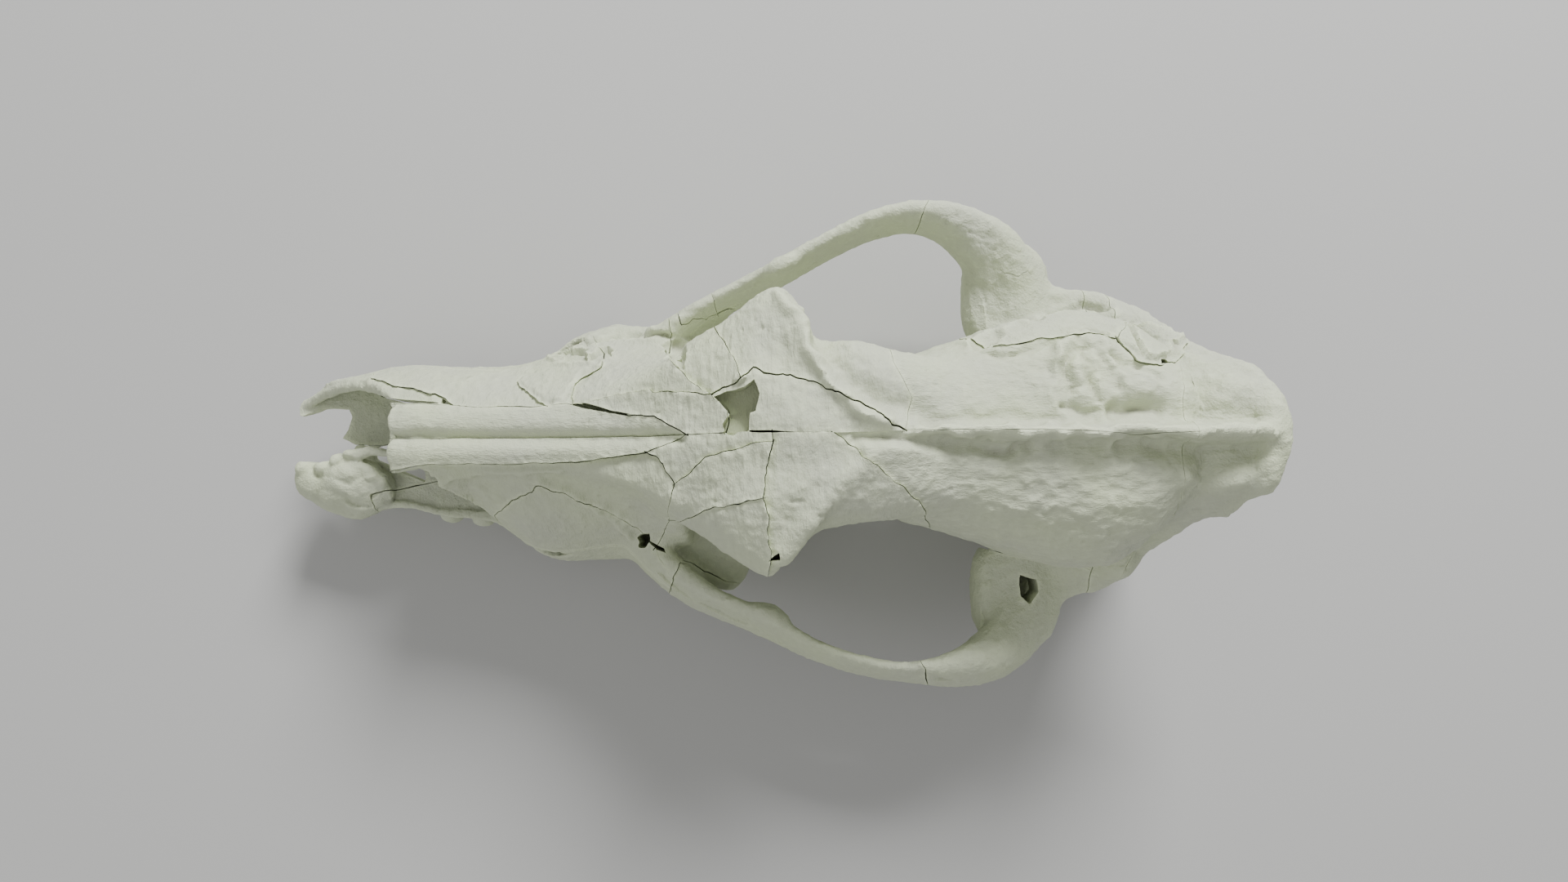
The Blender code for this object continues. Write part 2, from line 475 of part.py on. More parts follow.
def joined(name, parts):
    """One object that holds the meshes of several, which are then removed."""
    bm = bmesh.new()
    for part in parts:
        bm.from_mesh(part.data)
        bpy.data.objects.remove(part, do_unlink=True)
    mesh = bpy.data.meshes.new(name)
    bm.to_mesh(mesh)
    bm.free()
    obj = bpy.data.objects.new(name, mesh)
    bpy.context.collection.objects.link(obj)
    return obj


def fused(name, parts, voxel, rounds):
    """Closed forms fused into one skin, then smoothed."""
    obj = joined(name, parts)
    remesh = obj.modifiers.new("fuse", "REMESH")
    remesh.mode = "VOXEL"
    remesh.voxel_size = voxel * MM
    smooth = obj.modifiers.new("soften", "SMOOTH")
    smooth.factor = 0.5
    smooth.iterations = rounds
    return evaluated(obj)


def combined(obj, others, operation, solver="EXACT"):
    """One Boolean of an object with a group of closed forms, which are then removed."""
    group = bpy.data.collections.new("group")
    for other in others:
        group.objects.link(other)
    boolean = obj.modifiers.new("combine", "BOOLEAN")
    boolean.operation = operation
    boolean.solver = solver
    boolean.operand_type = "COLLECTION"
    boolean.collection = group
    evaluated(obj)
    for other in others:
        bpy.data.objects.remove(other, do_unlink=True)
    bpy.data.collections.remove(group)
    return obj


def mended(obj):
    """Cut out the spots where a mesh touches itself and close them again, so that it is one skin."""
    bm = bmesh.new()
    bm.from_mesh(obj.data)
    for _ in range(6):
        torn = {v for v in bm.verts if not v.is_manifold}
        torn |= {v for e in bm.edges if len(e.link_faces) != 2 for v in e.verts}
        if not torn:
            break
        bmesh.ops.delete(bm, geom=list(torn), context="VERTS")
        bmesh.ops.holes_fill(bm, edges=[e for e in bm.edges if e.is_boundary], sides=0)
        bmesh.ops.delete(bm, geom=[e for e in bm.edges if not e.link_faces], context="EDGES")
        bmesh.ops.triangulate(bm, faces=[f for f in bm.faces if len(f.verts) > 3])
    bmesh.ops.recalc_face_normals(bm, faces=bm.faces)
    bm.to_mesh(obj.data)
    bm.free()
    return obj


def islands(obj):
    """The closed surfaces that a mesh holds, as new objects, the object itself removed."""
    bm = bmesh.new()
    bm.from_mesh(obj.data)
    bmesh.ops.triangulate(bm, faces=bm.faces)
    bmesh.ops.remove_doubles(bm, verts=bm.verts, dist=0.004 * MM)
    bmesh.ops.dissolve_degenerate(bm, edges=bm.edges, dist=0.004 * MM)
    bm.verts.index_update()
    left = set(bm.verts)
    pieces = []
    while left:
        seed = left.pop()
        group = {seed}
        front = [seed]
        while front:
            v = front.pop()
            for edge in v.link_edges:
                other = edge.other_vert(v)
                if other not in group:
                    group.add(other)
                    front.append(other)
        left -= group
        faces = {f for v in group for f in v.link_faces}
        order = {v: i for i, v in enumerate(sorted(group, key=lambda v: v.index))}
        if len(faces) < 12:
            continue
        mesh = bpy.data.meshes.new("piece")
        mesh.from_pydata([v.co.copy() for v in order], [],
                         [[order[v] for v in f.verts] for f in sorted(faces, key=lambda f: f.index)])
        piece = bpy.data.objects.new("piece", mesh)
        bpy.context.collection.objects.link(piece)
        pieces.append(piece)
    bm.free()
    bpy.data.objects.remove(obj, do_unlink=True)
    return pieces


def volume(obj):
    bm = bmesh.new()
    bm.from_mesh(obj.data)
    size = bm.calc_volume(signed=True)
    bm.free()
    return size


def largest(obj):
    """Keep only an object's largest closed surface, under its own name."""
    name = obj.name
    pieces = sorted(islands(obj), key=volume)
    for scrap in pieces[:-1]:
        bpy.data.objects.remove(scrap, do_unlink=True)
    pieces[-1].name = name
    pieces[-1].data.name = name
    return pieces[-1]


def tooth(name, start, end, breadth, height, cusps, side):
    """A cheek tooth set in the rim: a blade with one or two cusps, its root sunk in the bone."""
    widths = SNOUT_RIGHT if side == 1 else SNOUT_LEFT
    rings = []
    for x in steps(start, end, (end - start) / 8):
        t = (x - start) / (end - start)
        rim = along(RIM, x)
        across = breadth / 2 * (0.35 + 0.65 * math.sin(math.pi * min(max(t, 0.04), 0.96)) ** 0.6)
        middle = (along(widths, min(x, -14)) * 0.97 - max(0.0, x + 14) * 0.35 - breadth / 2) * side
        peak = 1 - abs(t - 0.45) * 1.7
        if cusps == 2:
            peak = max(1 - abs(t - 0.33) * 2.6, 0.72 - abs(t - 0.75) * 2.2)
        tip = rim - height * max(peak, 0.28)
        half = ((1.0, rim + 4.5), (1.05, rim - 0.5), (0.75, rim + (tip - rim) * 0.55), (0.25, tip))
        ring = half + tuple((-a, z) for a, z in half[::-1])
        rings.append([(x, middle + across * a, z) for a, z in ring])
    return solid(name, rings)


def finish(obj, colour):
    """Set a node in its place, with its matte bone surface."""
    obj.data.transform(Matrix.Translation(-Vector(CENTRE) * MM))
    material = bpy.data.materials.new(obj.name)
    material.use_nodes = True
    shader = material.node_tree.nodes["Principled BSDF"]
    shader.inputs["Base Color"].default_value = (*colour, 1)
    shader.inputs["Roughness"].default_value = 0.62
    shader.inputs["Metallic"].default_value = 0.0
    obj.data.materials.clear()
    obj.data.materials.append(material)


def main():
    clear_scene()
    skull = fused("skull", masses(), VOXEL, SOFTENING)
    combined(skull, cavities(), "DIFFERENCE", "MANIFOLD")
    thin = skull.modifiers.new("fewer faces", "DECIMATE")
    thin.ratio = BONE_TRIANGLES / sum(len(p.vertices) - 2 for p in skull.data.polygons)
    mended(evaluated(skull))
    combined(skull, gaps(), "DIFFERENCE", "MANIFOLD")
    pieces = islands(skull)
    trees = {piece: BVHTree.FromPolygons([v.co for v in piece.data.vertices],
                                         [p.vertices for p in piece.data.polygons]) for piece in pieces}
    for name, seed in BONES.items():
        point = Vector(seed) * MM
        nearest = min(trees, key=lambda piece: trees[piece].find_nearest(point)[3])
        trees.pop(nearest)
        nearest.name = name
        nearest.data.name = name
    for scrap in trees:
        bpy.data.objects.remove(scrap, do_unlink=True)
    for side, name in ((1, "upper_jaw_right"), (-1, "upper_jaw_left")):
        jaw = bpy.data.objects[name]
        teeth = [tooth(*row, side) for row in CHEEK_TEETH]
        largest(combined(jaw, teeth, "UNION"))
    for name in BONES:
        finish(mended(bpy.data.objects[name]), BONE)


main()
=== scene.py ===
import itertools
import math

import bmesh
import bpy
import numpy as np
from mathutils import Matrix, Vector


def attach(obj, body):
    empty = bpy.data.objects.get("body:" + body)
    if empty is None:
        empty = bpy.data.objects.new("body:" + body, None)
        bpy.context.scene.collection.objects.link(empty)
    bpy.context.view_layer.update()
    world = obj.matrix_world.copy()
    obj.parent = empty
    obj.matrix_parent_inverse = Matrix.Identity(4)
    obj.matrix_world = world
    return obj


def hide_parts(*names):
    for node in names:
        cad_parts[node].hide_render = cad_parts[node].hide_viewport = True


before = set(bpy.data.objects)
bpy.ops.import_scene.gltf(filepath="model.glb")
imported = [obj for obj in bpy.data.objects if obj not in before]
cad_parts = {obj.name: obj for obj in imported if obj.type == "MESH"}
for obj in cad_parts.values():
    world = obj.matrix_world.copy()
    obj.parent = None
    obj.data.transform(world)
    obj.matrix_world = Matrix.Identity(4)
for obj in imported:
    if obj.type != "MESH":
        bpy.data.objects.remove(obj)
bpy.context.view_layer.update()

# The snout: jaw bones with thin side walls that bulge over the tooth roots, under the two long nasal
# bones. Its outer form is one closed skin over rings, the first of the plain forms that grow together
# into a cranium. All tables are in millimetres, +X to the back of the skull and +Y its right side.
MM = 0.001
SNOUT_FRONT = -127.2
SNOUT_BACK = -14
TUBER_ENDS = (-34, 3)
NASAL_FLOOR = 22.5
WALL_POINTS = 10
ROOF = ((-127, 46), (-104, 52), (-89, 55.5), (-60, 60), (-40, 64.5), (-25, 70), (-12, 77), (0, 82),
        (12, 85), (25, 86), (45, 85), (70, 86), (95, 86.5), (115, 85.5), (127, 82))
RIM = ((-127, 20), (-90, 17), (-33, 14.5), (3, 13))
PALATE = ((-127, 21.5), (-95, 19), (-33, 19), (3, 18.5))
SNOUT_RIGHT = ((-126, 12.6), (-120.6, 15.4), (-115, 18), (-109, 19.2), (-103, 20.8), (-97.6, 22.2),
               (-80, 22.1), (-63, 22.9), (-57, 24.8), (-51.5, 28.6), (-45.7, 32), (-40, 34.2), (-28.5, 33.8),
               (-14, 30))
SNOUT_LEFT = ((-126, 13), (-120.6, 18), (-115, 20.2), (-109, 21.6), (-103, 18.2), (-97, 17.6), (-91, 18.8),
              (-86, 20.2), (-78, 20.8), (-68.8, 22.6), (-63, 26.4), (-57.3, 31.2), (-51.5, 32.8), (-40, 32.4),
              (-28.5, 32), (-14, 31))
SNOUT_EDGE = ((-126, 7), (-90, 8), (-60, 7.6), (-40, 9), (-25, 13), (-14, 18))
SNOUT_BULGE = ((-126, 2.2), (-84, 2.0), (-63, 1.6), (-40, 1.15), (-14, 1.0))
SNOUT_BULGE_LEFT = ((-127, 0.45), (-113, 0.45), (-103, 1.3), (-92, 1.5), (-63, 1.6), (-40, 1.15), (-14, 1.0))
TUBER_RIGHT = ((-34, 33), (-20, 33.5), (-10, 35.5), (-3, 34), (3, 27))
TUBER_LEFT = ((-34, 32), (-20, 34.5), (-10, 39.6), (-4, 41), (-1, 39), (3, 29))


def along(table, x, column=1):
    """A value at x, on a smooth curve through a table's points."""
    xs = np.array([row[0] for row in table], float)
    ys = np.array([row[column] for row in table], float)
    x = min(max(x, xs[0]), xs[-1])
    slopes = np.gradient(ys, xs)
    i = min(int(np.searchsorted(xs, x, side="right")) - 1, len(xs) - 2)
    step = xs[i + 1] - xs[i]
    t = (x - xs[i]) / step
    start = (2 * t ** 3 - 3 * t ** 2 + 1) * ys[i] + (t ** 3 - 2 * t ** 2 + t) * step * slopes[i]
    end = (3 * t ** 2 - 2 * t ** 3) * ys[i + 1] + (t ** 3 - t ** 2) * step * slopes[i + 1]
    return start + end


def roof(x):
    """Height of the skull's profile along its middle."""
    return along(ROOF, x)


def placed(name, data):
    """A new object in the scene."""
    obj = bpy.data.objects.new(name, data)
    bpy.context.collection.objects.link(obj)
    return obj


def meshed(name, bm):
    """A new object from a mesh that is ready."""
    mesh = bpy.data.meshes.new(name)
    bm.to_mesh(mesh)
    bm.free()
    return placed(name, mesh)


def solid(name, rings):
    """A closed mesh skinned over rings of points in millimetres, with both ends filled."""
    bm = bmesh.new()
    loops = [[bm.verts.new(Vector(p) * MM) for p in ring] for ring in rings]
    count = len(loops[0])
    for low, high in zip(loops, loops[1:]):
        for i in range(count):
            j = (i + 1) % count
            bm.faces.new((low[i], low[j], high[j], high[i]))
    bm.faces.new(loops[0])
    bm.faces.new(loops[-1])
    bmesh.ops.triangulate(bm, faces=[f for f in bm.faces if len(f.verts) > 4])
    bmesh.ops.recalc_face_normals(bm, faces=bm.faces)
    return meshed(name, bm)


def oval(x, right, left, bottom, top, power=2.0, count=28):
    """One upright ring at x, rounder or boxier with its power."""
    middle = (top + bottom) / 2
    half = (top - bottom) / 2
    ring = []
    for i in range(count):
        angle = 2 * math.pi * i / count
        across = math.copysign(abs(math.cos(angle)) ** (2 / power), math.cos(angle))
        upward = math.copysign(abs(math.sin(angle)) ** (2 / power), math.sin(angle))
        ring.append((x, across * (right if across > 0 else left), middle + half * upward))
    return ring


def steps(start, end, spacing=3.0):
    """Even steps from start to end, about one spacing apart."""
    count = max(2, round(abs(end - start) / spacing))
    return [start + (end - start) * i / count for i in range(count + 1)]


def half_snout(x, widths, bulges, inset, hollow):
    """Points (y, z) up one side of the snout, from the palate's middle to the edge of the nasal bones."""
    wide = along(widths, x) - inset
    edge = along(SNOUT_EDGE, x) - inset * 0.6
    bulge = along(bulges, x)
    palate = NASAL_FLOOR if hollow else along(PALATE, x)
    rim = NASAL_FLOOR if hollow else along(RIM, x)
    low = NASAL_FLOOR + 1.5 if hollow else along(PALATE, x) + 3
    shoulder = roof(x) - inset - 1.6
    half = [(0.0, palate), (wide * 0.5, palate), (wide * 0.7, palate + (rim - palate) * 0.35),
            (wide * 0.8, rim), (wide * 0.97, rim), (wide, low)]
    for i in range(1, WALL_POINTS):
        s = i / (WALL_POINTS - 1)
        half.append((edge + (wide - edge) * (1 - s ** bulge), low + (shoulder - low) * s))
    half.append((edge * 0.5, roof(x) - inset - 0.4))
    return half


def snout_ring(x, inset=0.0, hollow=False):
    """The snout's section: flat palate, tooth-bearing rims, bulging walls and the nasal bones on top."""
    right = [(x, y, z) for y, z in half_snout(x, SNOUT_RIGHT, SNOUT_BULGE, inset, hollow)]
    left = [(x, -y, z) for y, z in half_snout(x, SNOUT_LEFT, SNOUT_BULGE_LEFT, inset, hollow)]
    return right + [(x, 0.0, roof(x) - inset)] + left[:0:-1]


forms = [solid("snout", [snout_ring(x) for x in steps(SNOUT_FRONT, SNOUT_BACK)])]
forms.append(solid("tuber", [oval(x, along(TUBER_RIGHT, x), along(TUBER_LEFT, x), along(RIM, x), 33, 3.2)
                             for x in steps(*TUBER_ENDS)]))

# The snout's relief, carved in later. Ridges (height above 0) and grooves (below): course seen from above,
# width, height, and the lowest and highest level that they mark. The nasal bones arch beside a valley.
carving = [
    (((-95, 0.7), (-41, -0.3), (-14, -0.6)), 1.5, -1.7, 45, 90),
    (((-93, 4.9), (-60, 4.7), (-35, 3.5)), 2.8, 0.6, 48, 90),
    (((-92, -3.9), (-60, -3.8), (-35, -3.0)), 2.5, 0.7, 48, 90),
    (((-92, 9.6), (-77, 9.6), (-66, 9.0), (-48, 9.0)), 1.2, -0.7, 46, 90),
    (((-70, -13), (-55, -14), (-46, -12.5), (-36, -14), (-26, -17.5)), 4.2, -2.2, 36, 75),
    (((-52, -12), (-48.6, -13.9), (-43.6, -14.8), (-38.5, -17.1), (-33.3, -20.7), (-30.2, -24.5)),
     1.1, 1.3, 36, 66),
    (((-78.3, -11.6), (-74.4, -9.9), (-67.2, -9.2), (-56.4, -8.8), (-45, -8.6)), 0.9, 0.7, 40, 80),
    (((-78.3, -11.8), (-72, -12.9), (-68.2, -15.5), (-62.9, -17.3)), 1.0, 0.6, 36, 60),
    (((-60, -22), (-50, -25), (-40, -25)), 5.0, 0.8, 26, 55),
    (((-34, -19.5), (-26, -21), (-21, -21.5)), 2.2, -0.9, 36, 66),
    (((-53, 25.5), (-48.3, 26.8), (-41.4, 28.4), (-33.7, 30.0), (-26.4, 29.4), (-20.7, 28.4)),
     0.8, -1.5, 22, 52),
    (((-54, 23.6), (-50, 20.6), (-45, 19.8), (-41, 19.8), (-37, 18.9), (-34.2, 21)), 0.7, 0.7, 30, 56),
    (((-50, 28), (-42.3, 31), (-36, 32.4), (-26, 31.6)), 1.5, 0.8, 22, 52),
    (((-77, 13.4), (-74.1, 14.7), (-69.6, 17.3), (-62.3, 18.6), (-58, 19.4)), 0.9, 0.55, 34, 60),
    (((-36, 16), (-30, 18), (-24, 19)), 2.5, 0.6, 50, 75),
    (((-100, 16.5), (-90, 13.6), (-80, 12.2)), 1.6, 0.8, 38, 60),
    (((-88, 17), (-76, 15), (-66, 15.5)), 3.0, 0.7, 34, 56),
    (((-106, -9.5), (-101, -9.5), (-97, -12)), 1.0, 0.6, 26, 40),
]

# Areas that stand proud or lie sunk with a crisp edge: outline seen from above, height, breadth of the edge,
# and the lowest and highest level that they mark.
areas = [
    (((-51.5, 25.2), (-48.6, 22.6), (-47.4, 21.2), (-45.3, 20.8), (-43.1, 21.4), (-41.9, 20.7),
      (-41.3, 22.6), (-43, 24.6), (-42.2, 26.2), (-46, 25.8), (-48.6, 26.4)), -2.3, 0.5, 24, 56),
    (((-41.2, 23), (-40.6, 21.2), (-38.6, 20.9), (-37.4, 19.9), (-35.1, 22.2), (-34.6, 24.9),
      (-36.9, 26.6), (-39, 25.4), (-39.6, 23.6)), -2.3, 0.5, 24, 56),
    (((-22.9, 26.2), (-21.2, 27.4), (-15.7, 27.8), (-12.4, 19.4), (-13.2, 15), (-18.3, 20.1)),
      -2.6, 1.2, 36, 78),
    (((-59, 15.5), (-53, 11.6), (-49, 9), (-44, 9), (-43, 13), (-40.5, 16.6), (-38, 20), (-44, 21),
      (-53, 20)), 0.7, 0.6, 36, 70),
    (((-82, 15), (-74.1, 14.9), (-69.6, 17.5), (-62.3, 18.8), (-62, 24), (-84, 24)), -0.5, 0.8, 26, 50),
]

# Forehead, braincase and the crest along its middle: thin plates of bone round the brain, with the
# brow corners standing out over the eye sockets. The braincase is one egg, the crest a blade on it.
FRONTAL_RIGHT = ((-28, 13), (-20, 18), (-11, 24), (-1, 29.8), (5.4, 34.6), (12, 34.8), (14.6, 31.5),
                 (16.8, 24.6), (22, 22.8), (28.7, 22.2), (34.5, 20.4), (41, 19.4), (54, 18))
FRONTAL_LEFT = ((-28, 13), (-20, 18), (-9.5, 24), (0, 30), (5.8, 33.4), (8.8, 33.4), (10.6, 27.2), (15, 25.6),
                (18.4, 22.8), (24.3, 21.4), (31.6, 20.2), (38.3, 19.6), (54, 18))
BRAIN_RIGHT = ((30, 14), (41, 20), (55, 25), (70, 30), (82, 32), (95, 28.5), (104, 22), (111, 14))
BRAIN_LEFT = ((30, 14), (38, 19.4), (48.6, 22.6), (58.8, 26), (72, 30.4), (84, 32.6), (97, 29), (105, 22),
              (111, 14))
BRAIN_TOP = ((30, 81), (45, 81), (60, 80.5), (75, 80.5), (90, 80), (103, 78), (111, 71))
BRAIN_BOTTOM = ((30, 36), (50, 28), (70, 24), (90, 24), (103, 28), (111, 36))
CORE_WIDTH = ((-28, 14), (-12, 14), (0, 12), (15, 11), (30, 13), (45, 17), (60, 20))


def frontal_ring(x):
    """The forehead's section, lower than the crest towards the back."""
    top = roof(x) - max(0.0, x - 36) * 0.35
    return oval(x, along(FRONTAL_RIGHT, x), along(FRONTAL_LEFT, x), roof(x) - 25, top, 2.2, 48)


def brain_ring(x):
    """The braincase's section."""
    bottom, top = along(BRAIN_BOTTOM, x), along(BRAIN_TOP, x)
    return oval(x, along(BRAIN_RIGHT, x), along(BRAIN_LEFT, x), bottom, top, 2.2, 48)


def core_ring(x):
    """The section of the bone under the forehead, between the eye sockets."""
    wide = along(CORE_WIDTH, x)
    return oval(x, wide, wide, 24, min(76.0, roof(x) - 7), 2.6, 32)


forms.append(solid("forehead", [frontal_ring(x) for x in steps(-28, 54)]))
forms.append(solid("braincase", [brain_ring(x) for x in steps(30, 111)]))
forms.append(solid("crest", [oval(x, 1.9, 1.9, roof(x) - 15, roof(x), 2.6, 16) for x in steps(34, 124)]))
forms.append(solid("core", [core_ring(x) for x in steps(-28, 60)]))

# The lines where the chewing muscles ended run from the brow corners to the crest; the right side of the
# braincase has a gnarled patch of ridges and pits, and the crest a furrow along it with hollows beside.
carving += [
    (((10.5, 31.8), (14.8, 25.2), (16.2, 20), (19.5, 14), (23.6, 8.8), (28.5, 4.6), (34.6, 2.4)),
     1.5, 1.9, 66, 95),
    (((13, 33), (18.5, 26), (20, 21), (24, 15), (28.5, 10.2), (34, 6.6), (44, 4.6)), 2.4, -1.5, 60, 95),
    (((8, 24), (11, 15), (17, 8.5), (26, 3.5)), 4.5, -1.3, 66, 95),
    (((20, 22), (24.5, 15), (31, 9.5), (40, 6.5)), 4.0, -1.2, 60, 95),
    (((9.8, -30), (15.3, -22.4), (19.9, -15), (25.4, -9.5), (32.7, -4.9), (42.2, -2)), 2.6, 0.7, 66, 95),
    (((9, -8), (16, -7), (24, -4)), 4.5, -1.0, 66, 95),
    (((-8, -13), (-2, -9), (3, -7)), 4.0, -0.7, 60, 95),
    (((-2, 22), (5, 19), (10, 18)), 4.0, -0.7, 60, 95),
    (((40, 0.5), (60, 0.4), (85, 0.3), (106, 0.2), (122, 0.4)), 0.8, 1.0, 70, 95),
    (((27, -0.7), (34, -1.2), (45, -1.9), (51.6, -2.7), (61.3, -4.1), (66, -3.4)), 1.5, -1.6, 66, 95),
    (((72, -2.3), (84, -2.5)), 1.2, -0.8, 70, 95),
    (((89, -2.9), (96, -3.5), (104, -4.2)), 2.2, -2.1, 62, 95),
    (((105, -7), (113, -9), (121, -8)), 4.5, 1.7, 50, 90),
    (((86, 4.9), (90.8, 5.4), (97, 5.6)), 1.6, -2.2, 62, 95),
    (((44, 3.0), (60, 3.2), (74, 2.7)), 1.3, -0.7, 66, 95),
    (((74.6, 17.2), (75.8, 20), (78.5, 22.4), (82, 23.4), (85.3, 22.3), (87.4, 19.2)), 1.4, 1.5, 56, 95),
    (((76.6, 17.2), (79.5, 19.9), (83, 20.4), (85.5, 17.6)), 1.3, -0.6, 56, 95),
    (((74.8, 17), (74.2, 13.5), (73.2, 10), (73, 6)), 1.2, 0.7, 56, 95),
    (((76.8, 16.5), (76.6, 13.0), (77.6, 9.0)), 0.9, -1.0, 56, 95),
    (((79.0, 17), (79.2, 13), (79.8, 8.6)), 1.0, 0.4, 56, 95),
    (((81.0, 14.5), (81.8, 10.9), (82.9, 7.6)), 0.9, -1.0, 56, 95),
    (((84, 16), (84.4, 12), (86.3, 8.6)), 1.3, 0.5, 56, 95),
    (((75.2, 5.9), (78.4, 4.7), (81.6, 4.2)), 1.1, -1.4, 56, 95),
    (((88, 15.5), (90, 11), (94, 9)), 1.3, 1.1, 56, 95),
    (((88.5, 19), (92, 15.5), (97, 13)), 1.1, -1.2, 56, 95),
    (((94, 11), (104, 9), (114, 7.5), (121, 6)), 5.0, 1.9, 60, 95),
    (((104, 15), (112, 13), (120, 11)), 1.8, 0.8, 55, 95),
    (((104, -10), (110, -12), (118, -10)), 2.2, 0.9, 55, 95),
    (((55.1, 22), (62.8, 25.8), (71.3, 29.3), (80.4, 34)), 1.2, 1.0, 36, 75),
    (((60.5, 19), (69, 20.5), (79.5, 24.4), (90, 26)), 1.2, -0.9, 50, 78),
    (((57, 21.2), (63, 24.4), (70, 27.6), (77, 31), (84, 35), (90, 36.8), (96, 35.4)), 0.8, -1.8, 36, 78),
    (((99, 33), (105, 28), (110, 20), (117, 15.5)), 2.2, 0.8, 40, 80),
    (((96, -27), (103, -24), (110, -19)), 1.6, -0.9, 40, 78),
    (((88, -30), (96, -31), (102, -27)), 1.4, 0.8, 40, 70),
    (((50, -14), (64, -17), (80, -17), (96, -15)), 2.4, 0.6, 60, 84),
]
areas += [
    (((95, 32.9), (107.5, 29.6), (112.6, 25.6), (110.4, 22.1), (108.9, 22.2), (107.5, 20.2), (100.1, 17.6),
      (95.1, 17.7)), 1.7, 0.6, 38, 82),
    (((56.5, 18.9), (60.8, 21.3), (66.1, 24.5), (74, 28), (86.5, 33.4), (94.6, 33), (94.2, 26.2),
      (94.8, 18), (85.4, 25.2), (75, 22), (63, 19.1)), 1.2, 0.6, 38, 80),
    (((-1.0, 12.4), (-0.3, 14.2), (3.0, 14.4), (3.8, 13.6), (2.0, 11.2), (-0.1, 11.2)), 1.2, 1.0, 66, 95),
]

# The underside and the back of the head: the flat base, the throat plates, the two hollow ear capsules,
# the joint shelves for the lower jaw, the neck joint's two knobs and the ridge up to the crest.
NUCHAL_RIGHT = ((79, 42, 33, 3.6), (88, 39, 34, 3.4), (95.5, 38.6, 36, 3.2), (104, 32.6, 44, 3.2),
                (110.4, 24.2, 54, 3.2), (117, 18, 62, 3.2), (121.5, 14.8, 69, 3.2), (124.2, 9, 75, 3.2),
                (125.6, 0, 79, 3.4))
NUCHAL_LEFT = ((79, -43, 33, 3.6), (88, -38.4, 34, 3.4), (95.5, -37, 36, 3.2), (104, -27.6, 43, 3.0),
               (111, -20.4, 54, 3.0), (118, -17.2, 66, 3.0), (123, -12.5, 75, 3.0), (125.6, 0, 79, 3.4))
BASE_WIDTH = ((3, 12), (30, 12), (50, 14), (66, 15), (80, 10), (112, 11))
BASE_BOTTOM = ((3, 27), (34, 25), (50, 18), (66, 15.5), (95, 15), (112, 15))
PTERYGOID = ((1, 14, 23, 8, 2.4), (12, 13, 22, 9, 2.2), (24, 12, 21, 10, 2.0), (35, 11.5, 21, 9, 2.0),
             (42, 12, 24, 5, 2.4))
SHELF_LEVELS = ((23, 9.5), (26, 11.6), (33, 12), (37, 10))
BACK_WALL = ((18, 100, 9, 20), (30, 101, 9.5, 28), (42, 102, 9.5, 28), (54, 105.5, 9, 24),
             (66, 111.5, 8.5, 19), (76, 118, 7, 12))


def bar(name, stations, lean=0.0):
    """A flattened bar along a path, its boxy section upright and square to the path seen from above."""
    keys = [(i,) + tuple(s) for i, s in enumerate(stations)]
    last = len(stations) - 1
    rings = []
    for t in steps(0, last, 0.34):
        here = np.array([along(keys, t, c) for c in (1, 2, 3)])
        ahead = np.array([along(keys, min(t + 0.05, last), c) for c in (1, 2, 3)])
        behind = np.array([along(keys, max(t - 0.05, 0), c) for c in (1, 2, 3)])
        run = (ahead - behind) / np.linalg.norm(ahead - behind)
        side = np.cross((0, 0, 1), run)
        side /= np.linalg.norm(side)
        up = np.cross(run, side) + lean * side
        up /= np.linalg.norm(up)
        tall, thick = along(keys, t, 4), along(keys, t, 5)
        section = oval(0, thick, thick, -tall, tall, 2.6, 20)
        rings.append([tuple(here + side * y + up * z) for _, y, z in section])
    return solid(name, rings)


def rod(name, stations, count=12):
    """A round tapering rod of so many sides through (x, y, z, radius) stations."""
    points = [np.array(s[:3], float) for s in stations]
    rings = []
    for i, s in enumerate(stations):
        run = points[min(i + 1, len(points) - 1)] - points[max(i - 1, 0)]
        run /= np.linalg.norm(run)
        guide = np.array((0, 0, 1.0)) if abs(run[2]) < 0.8 else np.array((1.0, 0, 0))
        side = np.cross(guide, run)
        side /= np.linalg.norm(side)
        up = np.cross(run, side)
        rings.append([tuple(points[i] + s[3] * (side * math.cos(a) + up * math.sin(a)))
                      for a in (2 * math.pi * k / count for k in range(count))])
    return solid(name, rings)


def ball(name, centre, radii, tilt=0.0):
    """A stretched ball, its long axis turned about Z by tilt degrees."""
    bm = bmesh.new()
    bmesh.ops.create_icosphere(bm, subdivisions=3, radius=1.0)
    turn = math.radians(tilt)
    for v in bm.verts:
        x, y, z = (v.co[k] * radii[k] for k in range(3))
        v.co = Vector((centre[0] + x * math.cos(turn) - y * math.sin(turn),
                       centre[1] + x * math.sin(turn) + y * math.cos(turn), centre[2] + z)) * MM
    return meshed(name, bm)


def level_oval(z, x, length, breadth, power=2.2):
    """One level ring at height z, its middle at x."""
    return [(x + b, a, z) for _, a, b in oval(0, breadth, breadth, -length, length, power, 32)]


def base_ring(x):
    """The flat base's section."""
    wide = along(BASE_WIDTH, x)
    return oval(x, wide, wide, along(BASE_BOTTOM, x), 38, 3.0, 24)


